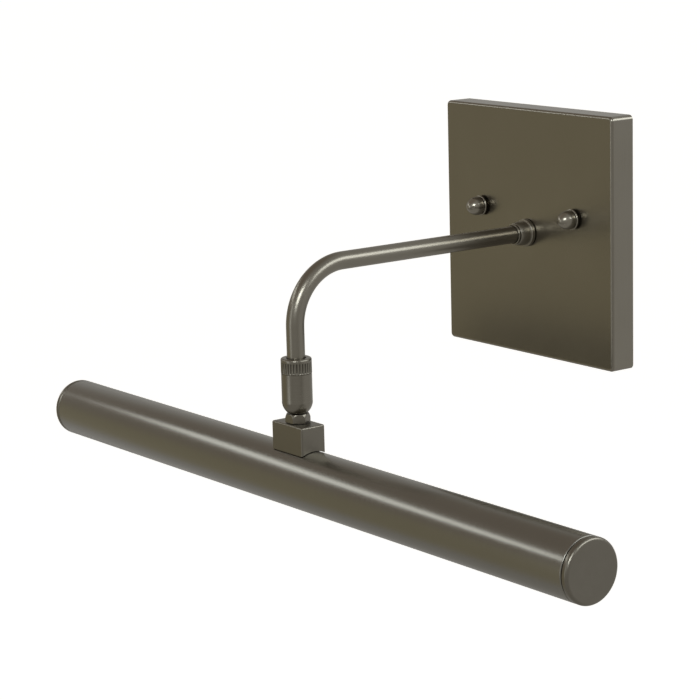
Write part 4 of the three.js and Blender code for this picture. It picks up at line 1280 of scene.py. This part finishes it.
# --- ball joint
@dataclass
class BallJoint(Part):
    """Knurled clamping sleeve and the ball stud, sizes in millimetres from the ball's centre."""

    ball: float = 4.75
    ball_cut: float = 63.0
    sleeve: float = 6.75
    socket: float = 5.9
    mouth: float = 4.5
    hole: float = 4.27
    lip: float = 1.7
    thread_bore: float = 5.6
    seat: float = 2.2
    top_edge: float = 1.2
    knurl_low: float = 12.6
    knurl_high: float = 17.4
    knurl_depth: float = 0.34
    knurl_count: int = 32
    neck: float = 2.5
    bore: float = 1.65
    flats: float = 9.53
    rim: float = 4.5
    dish: float = 7.05
    shoulder: float = 1.9
    shank: float = 3.0

    def centre(self) -> Vector:
        """Find the ball from the top of the stud, which is cut off at an angle of ball_cut.

        Returns:
            The ball's centre in metres.
        """
        low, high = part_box("ball_stud")
        at = (low + high) / 2
        return Vector((at.x, at.y, high.z - self.ball * MM * math.sin(math.radians(self.ball_cut))))

    def knurl(self, radius: float, along: float, angle: float) -> float:
        """Radius with the straight knurl cut in.

        Args:
            radius: The plain radius.
            along: Place along the axis.
            angle: Angle round it.

        Returns:
            The knurled radius.
        """
        if radius < self.sleeve - 0.2 or not self.knurl_low <= along <= self.knurl_high:
            return radius
        ends = min(along - self.knurl_low, self.knurl_high - along) / 0.35
        phase = 0.5 + 0.5 * math.cos(self.knurl_count * angle)
        return radius - self.knurl_depth * min(ends, 1.0) * phase**1.6

    def build(self) -> None:
        """Make the sleeve and the stud, and dress the hidden pieces."""
        self.build_sleeve()
        self.build_stud()
        self.dress_node("swivel_fitting", TurnedBrass("fitting_brass"))
        self.dress_node("friction_cup", TurnedBrass("cup_brass"))
        self.dress_node("spring_washer", PlatedSteel("wave_washer_steel", *SPRING_STEEL))
        self.dress_node("seat_ring", Plastic("seat_nylon", (0.78, 0.76, 0.70)))

    def build_sleeve(self) -> None:
        """Make the clamping sleeve."""
        at = self.centre()
        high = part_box("clamp_sleeve")[1]
        top = (high.z - at.z) / MM
        outer = math.acos(self.mouth / self.sleeve)
        inner = math.acos(self.mouth / self.socket)
        bottom = [self.arc(self.sleeve, -outer * (1 - k / 18)) for k in range(18)]
        cup = [self.arc(self.socket, -inner * k / 12) for k in range(1, 13)]
        body = self.sleeve - 0.05
        levels = [self.knurl_low, self.knurl_low + 0.35, self.knurl_high - 0.35, self.knurl_high]
        profile = [
            *bottom, (body, 0), (body, self.knurl_low - 0.5), (body, self.knurl_low - 0.35),
            (body - 0.22, self.knurl_low - 0.2), (body - 0.22, self.knurl_low - 0.05),
            *[(self.sleeve, along) for along in levels],
            (self.sleeve, top, self.top_edge), (self.hole, top, 0.4), (self.hole, top - self.lip),
            (self.thread_bore, top - self.lip), (self.thread_bore, self.seat), (self.socket, self.seat),
            (self.socket, 0), *cup,
        ]
        sleeve = piece("knurled_sleeve", turned(profile, Axis.Z, at, self.knurl_count * 6, self.knurl), 40)
        # painted light: the sleeve's nickel is darkened to 0.9, and its knurl grooves get painted shade
        knurl = (self.knurl_low, self.knurl_high, self.knurl_count)
        finish = SatinNickel(Grain.ROUND_Z, "sleeve_nickel", rough=0.28, painted_light_scale=0.9, knurl=knurl)
        self.add(sleeve, finish, at, "sleeve", "satin_nickel", "clamp_sleeve")

    def build_stud(self) -> None:
        """Make the ball, its neck, the hexagon and the hollow shank."""
        at = self.centre()
        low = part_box("ball_stud")[0]
        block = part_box("saddle_block")[1]
        end = (low.z - at.z) / MM
        base = (block.z - at.z) / MM + 0.3
        start = math.radians(self.ball_cut)
        stop = -math.acos(self.neck / self.ball)
        ball = [self.arc(self.ball, start + (stop - start) * k / 20) for k in range(21)]
        dish_low, dish_high = -math.acos(self.neck / self.dish), -math.acos(self.rim / self.dish)
        dish = [self.arc(self.dish, dish_low + (dish_high - dish_low) * k / 6) for k in range(7)]
        rim_z = dish[-1][1]
        corner = self.flats / math.sqrt(3)
        slope = [
            (self.rim + (corner - self.rim) * math.sqrt(share), rim_z - self.shoulder * share)
            for share in (0.06, 0.15, 0.3, 0.5, 0.75, 1)
        ]
        profile = [
            *ball, *dish, *slope, (corner, base), (self.shank, base), (self.shank, end + 0.4),
            (self.shank - 0.4, end), (self.bore, end), (self.bore, ball[0][1]),
        ]
        flats = hex_limit(self.flats)

        def trim(radius: float, along: float, angle: float) -> float:
            """Radius with only the hexagon trimmed."""
            hexagon = along < rim_z + 0.01 and radius > self.rim - 0.01
            return flats(radius, along, angle) if hexagon else radius

        stud = flattened(piece("hex_ball_stud", turned(profile, Axis.Z, at, 96, trim), 25))
        # painted shade: the stud's nickel is darkened to 0.8 and its edges get a dark colour
        finish = SatinNickel(Grain.ROUND_Z, "stud_nickel", rough=0.28, painted_light_scale=0.8, edge_wear_and_shade=(0.16, 0.145, 0.12))
        self.add(stud, finish, at, "head", "satin_nickel", "ball_stud")

    @staticmethod
    def arc(radius: float, angle: float) -> tuple[float, float]:
        """Profile point on a sphere about the ball's centre."""
        return radius * math.cos(angle), radius * math.sin(angle)


# --- lamp head
@dataclass
class LampHead(Part):
    """Saddle block, tube, end caps and fasteners, sizes in millimetres."""

    wall: float = 1.1
    gap: float = 0.3
    aim: float = 30.0
    slot_half: float = 34.0
    slot_end: float = 16.0
    cap_edge: float = 1.6
    cap_disc: float = 1.4
    spigot_length: float = 8.0
    spigot_wall: float = 1.6
    block_edge: float = 0.8
    shank_hole: float = 3.3

    def build(self) -> None:
        """Make the head's outer pieces and dress its fasteners."""
        self.build_tube()
        self.build_block()
        for side, name in zip((-1, 1), SIDES):
            self.build_cap(side, name)
        self.dress_node("shank_washer", PlatedSteel("shank_washer_steel"))
        self.dress_node("shank_nut", PlatedSteel("shank_nut_steel"))
        self.dress_node("lamp_lead_black", Plastic("lamp_black_plastic", BLACK, 0.38))
        self.dress_node("lamp_lead_white", Plastic("lamp_white_plastic", WHITE, 0.38))

    def tube(self) -> tuple[Vector, float, float]:
        """The tube's centre in metres, and its radius and half length in millimetres."""
        low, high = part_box("lamp_tube")
        return (low + high) / 2, (high.y - low.y) / 2 / MM, (high.x - low.x) / 2 / MM

    def build_tube(self) -> None:
        """Make the tube with its light slot."""
        at, radius, half = self.tube()
        bore = radius - self.wall
        profile = [(bore, -half), (radius, -half, 0.5), (radius, half, 0.5), (bore, half)]
        tube = piece("slim_lamp_tube", turned(profile, Axis.X, at, 144))
        outline = [(at.y, at.z)]
        for k in range(13):
            angle = math.radians(self.aim - self.slot_half + 2 * self.slot_half * k / 12)
            reach = radius * 1.4 * MM
            outline.append((at.y + reach * math.sin(angle), at.z - reach * math.cos(angle)))
        stop = (half - self.slot_end) * MM
        slot = prism(outline, Axis.X, -stop, stop)
        crown = rod(self.shank_hole, 0, 0, radius + 2, Axis.Z, at)
        carved(tube, slot, crown)
        nickel = SatinNickel(
            Grain.ROUND_X, "tube_nickel", tone=(0.256, 0.245, 0.220), deep=(0.222, 0.212, 0.187), rough=0.24
        )
        self.add(tube, nickel, at, "head", "satin_nickel", "lamp_tube")

    def build_block(self) -> None:
        """Make the block that sits on the tube."""
        at, radius = self.tube()[:2]
        low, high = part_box("saddle_block")
        half = (high.y - low.y) / 2
        seat = (radius + self.gap) * MM
        reach = math.asin(half / seat)
        outline = [(low.y, high.z), (high.y, high.z)]
        for k in range(17):
            angle = reach * (1 - 2 * k / 16)
            outline.append((at.y + seat * math.sin(angle), at.z + seat * math.cos(angle)))
        blank = prism(outline, Axis.X, low.x, high.x)
        crisp = high.z - 6 * MM
        sharp = [
            edge for edge in blank.edges
            if edge.calc_face_angle() > math.radians(40) and max(vert.co.z for vert in edge.verts) > crisp
        ]
        bmesh.ops.bevel(
            blank, geom=sharp, offset=self.block_edge * MM, segments=4, profile=0.5, affect="EDGES"
        )
        block = piece("saddle", blank)
        flattened(carved(block, rod(self.shank_hole, 0, -30, 30, Axis.Z, Vector((at.x, at.y, high.z)))))
        # painted shade: the block's nickel is darkened to 0.88 and its edges get a near-black colour that
        # dims their highlights
        finish = SatinNickel(Grain.ALONG_X, "block_nickel", rough=0.36, painted_light_scale=0.88, edge_wear_and_shade=(0.06, 0.054, 0.045))
        self.add(block, finish, at, "head", "satin_nickel", "saddle_block")

    def build_cap(self, side: int, name: str) -> None:
        """Make one end cap.

        Args:
            side: -1 for the left end and 1 for the right one.
            name: "left" or "right".
        """
        at, radius, half = self.tube()
        low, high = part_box(f"end_cap_{name}")
        start = half + self.gap
        end = (high.x if side > 0 else -low.x) / MM
        spigot = radius - self.wall - self.gap
        inside = spigot - self.spigot_wall
        outside = [
            (0, end - self.cap_disc), (inside, end - self.cap_disc), (inside, start - self.spigot_length),
            (spigot, start - self.spigot_length, 0.4), (spigot, start), (radius, start, 0.9),
            (radius, end, self.cap_edge), (0, end),
        ]
        profile = [(item[0], side * item[1], *item[2:]) for item in outside]
        points = eased(profile, 10)
        cap = flattened(piece(f"{name}_cap", turned(points, Axis.X, Vector((0, at.y, at.z)), 144)))
        # painted shade: the caps' nickel is darkened to 0.78
        finish = SatinNickel(Grain.ROUND_X, f"{name}_cap_nickel", rough=0.30, painted_light_scale=0.78)
        self.add(cap, finish, at, "head", "satin_nickel", f"end_cap_{name}")


@dataclass
class LightEngine(Part):
    """The lighting parts inside the tube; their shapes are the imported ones."""

    def build(self) -> None:
        """Dress every piece of the light engine."""
        for node, finish in {
            "light_channel": Aluminium(),
            "led_board": Plastic("chip_board_mask", (0.82, 0.81, 0.76), 0.4),
            "diffuser": Plastic("opal_plastic", (0.86, 0.85, 0.80), 0.5, 900.0),
            "driver_board": Plastic("driver_board_mask", (0.03, 0.13, 0.06), 0.35),
            "board_lead_plus": Plastic("red_lead_plastic", (0.38, 0.03, 0.02), 0.38),
            "board_lead_minus": Plastic("black_lead_plastic", BLACK, 0.38),
        }.items():
            self.dress_node(node, finish)


# --- studio
def heading(azimuth: float, elevation: float) -> Vector:
    """Direction from the part, with both angles in degrees and azimuth 0 in front."""
    a, e = math.radians(azimuth), math.radians(elevation)
    return Vector((math.sin(a) * math.cos(e), -math.cos(a) * math.cos(e), math.sin(e)))


@dataclass(frozen=True)
class SoftBox:
    """One soft light that faces the part."""

    name: str
    azimuth: float
    elevation: float
    distance: float
    width: float
    height: float
    watts: float
    color: Color = (0.92, 0.975, 1.0)

    def place(self, target: Vector) -> None:
        """Put the light in the scene.

        Args:
            target: The point that it faces.
        """
        data = bpy.data.lights.new(self.name, "AREA")
        data.shape = "RECTANGLE"
        data.size, data.size_y = self.width, self.height
        data.energy = self.watts
        data.color = self.color
        light = bpy.data.objects.new(self.name, data)
        back = heading(self.azimuth, self.elevation)
        light.location = target + back * self.distance
        light.rotation_mode = "QUATERNION"
        light.rotation_quaternion = back.to_track_quat("Z", "Y")
        bpy.context.scene.collection.objects.link(light)


@dataclass
class Studio:
    """Floor, lights and camera, in metres and degrees."""

    floor_drop: float = 1.6
    floor_size: float = 60.0
    camera_at: tuple[float, float, float] = (0.8311, -0.7347, 0.1746)
    azimuth: float = 53.334
    elevation: float = 11.716
    roll: float = -1.501
    lens: float = 124.09
    around: Color = (0.43, 0.42, 0.395)
    warm: Color = (0.412, 0.378, 0.272)
    dark: Color = (0.34, 0.30, 0.255)
    behind: Color = (0.55, 0.545, 0.525)
    seen: Color = (1.0, 1.0, 1.0)
    boxes: tuple[SoftBox, ...] = (
        SoftBox("strip_left", -51.0, 26.0, 1.8, 1.5, 0.24, 2.85, (0.92, 0.985, 1.0)),
        SoftBox("box_front", -8.0, 4.0, 1.6, 0.45, 1.1, 1.4),
        SoftBox("key", 43.0, 28.0, 1.8, 0.6, 0.5, 10.0),
        SoftBox("box_right", 126.0, 31.0, 1.7, 1.9, 0.7, 12.0),
    )

    def build(self) -> None:
        """Set up floor, world, lights and camera."""
        low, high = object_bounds()
        self.build_floor(low.z - self.floor_drop)
        self.build_world()
        for box in self.boxes:
            box.place((low + high) / 2)
        self.build_camera()
        bpy.context.scene.view_settings.view_transform = "Standard"

    def build_floor(self, level: float) -> None:
        """Lay a plain pale floor.

        Args:
            level: Its height.
        """
        half = self.floor_size / 2
        sheet = bmesh.new()
        corners = [
            sheet.verts.new((x * half, y * half, level)) for x, y in ((-1, -1), (1, -1), (1, 1), (-1, 1))
        ]
        sheet.faces.new(corners)
        floor = piece("floor", sheet)
        shader = Shader("pale_floor")
        shader.set(Base_Color=(0.88, 0.88, 0.88), Roughness=0.9)
        shader.set(Emission_Color=(1.0, 1.0, 1.0), Emission_Strength=0.66)
        floor.data.materials.append(shader.material)
        floor.visible_glossy = False
        floor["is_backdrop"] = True

    def build_world(self) -> None:
        """Light the room evenly and show it pale behind the part."""
        world = bpy.data.worlds.new("room")
        bpy.context.scene.world = world
        world.use_nodes = True
        nodes = Nodes(world.node_tree)
        room = nodes.node("ShaderNodeBackground", {}, {"Color": self.room_tone(nodes)})
        seen = nodes.node("ShaderNodeBackground", {}, {"Color": self.seen})
        camera = nodes.node("ShaderNodeLightPath", {}, {}, "Is Camera Ray")
        mix = nodes.node("ShaderNodeMixShader", {}, {0: camera, 1: room, 2: seen})
        nodes.new("ShaderNodeOutputWorld", {}, {"Surface": mix})

    def room_tone(self, nodes: Nodes) -> Value:
        """Colour of the room in each direction: warm in front, pale behind, dark high up on the left.

        Args:
            nodes: The world's node tree.

        Returns:
            The colour.
        """
        sky = nodes.node("ShaderNodeTexCoord", {}, {}, "Generated")
        tone: Value | Color = self.around
        for way, start, full, color in (
            ((0.3, 0.93, 0.1), 0.15, 0.75, self.behind),
            ((-0.79, -0.58, -0.16), 0.80, 0.95, self.warm),
            ((-0.55, -0.35, 0.76), 0.55, 0.85, self.dark),
        ):
            inputs = {0: sky, 1: Vector(way).normalized()}
            dot = nodes.node("ShaderNodeVectorMath", {"operation": "DOT_PRODUCT"}, inputs, "Value")
            tone = nodes.mix(dot.above(start, full - start), tone, color)
        return tone

    def build_camera(self) -> None:
        """Set up the camera."""
        roll = math.radians(self.roll)
        back = heading(self.azimuth, self.elevation)
        level = Vector((0, 0, 1)).cross(back).normalized()
        raised = back.cross(level)
        right = level * math.cos(roll) + raised * math.sin(roll)
        up = raised * math.cos(roll) - level * math.sin(roll)
        data = bpy.data.cameras.new("camera")
        data.lens = self.lens
        data.sensor_width = 36.0
        data.clip_start, data.clip_end = 0.01, 100.0
        camera = bpy.data.objects.new("camera", data)
        rows = [(right[i], up[i], back[i], self.camera_at[i]) for i in range(3)]
        camera.matrix_world = Matrix((*rows, (0, 0, 0, 1)))
        bpy.context.scene.collection.objects.link(camera)
        bpy.context.scene.camera = camera


def main() -> None:
    """Build the part's looks and the studio."""
    logging.basicConfig(level=logging.INFO, format="%(message)s")
    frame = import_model()
    for maker in (CoverPlate, WallHardware, ThumbNuts, Arm, BallJoint, LampHead, LightEngine):
        part = maker(frame)
        part.build()
        for name in part.made:
            log.info("%s: %s", maker.__name__, name)
    Studio().build()


if __name__ == "__main__":
    main()
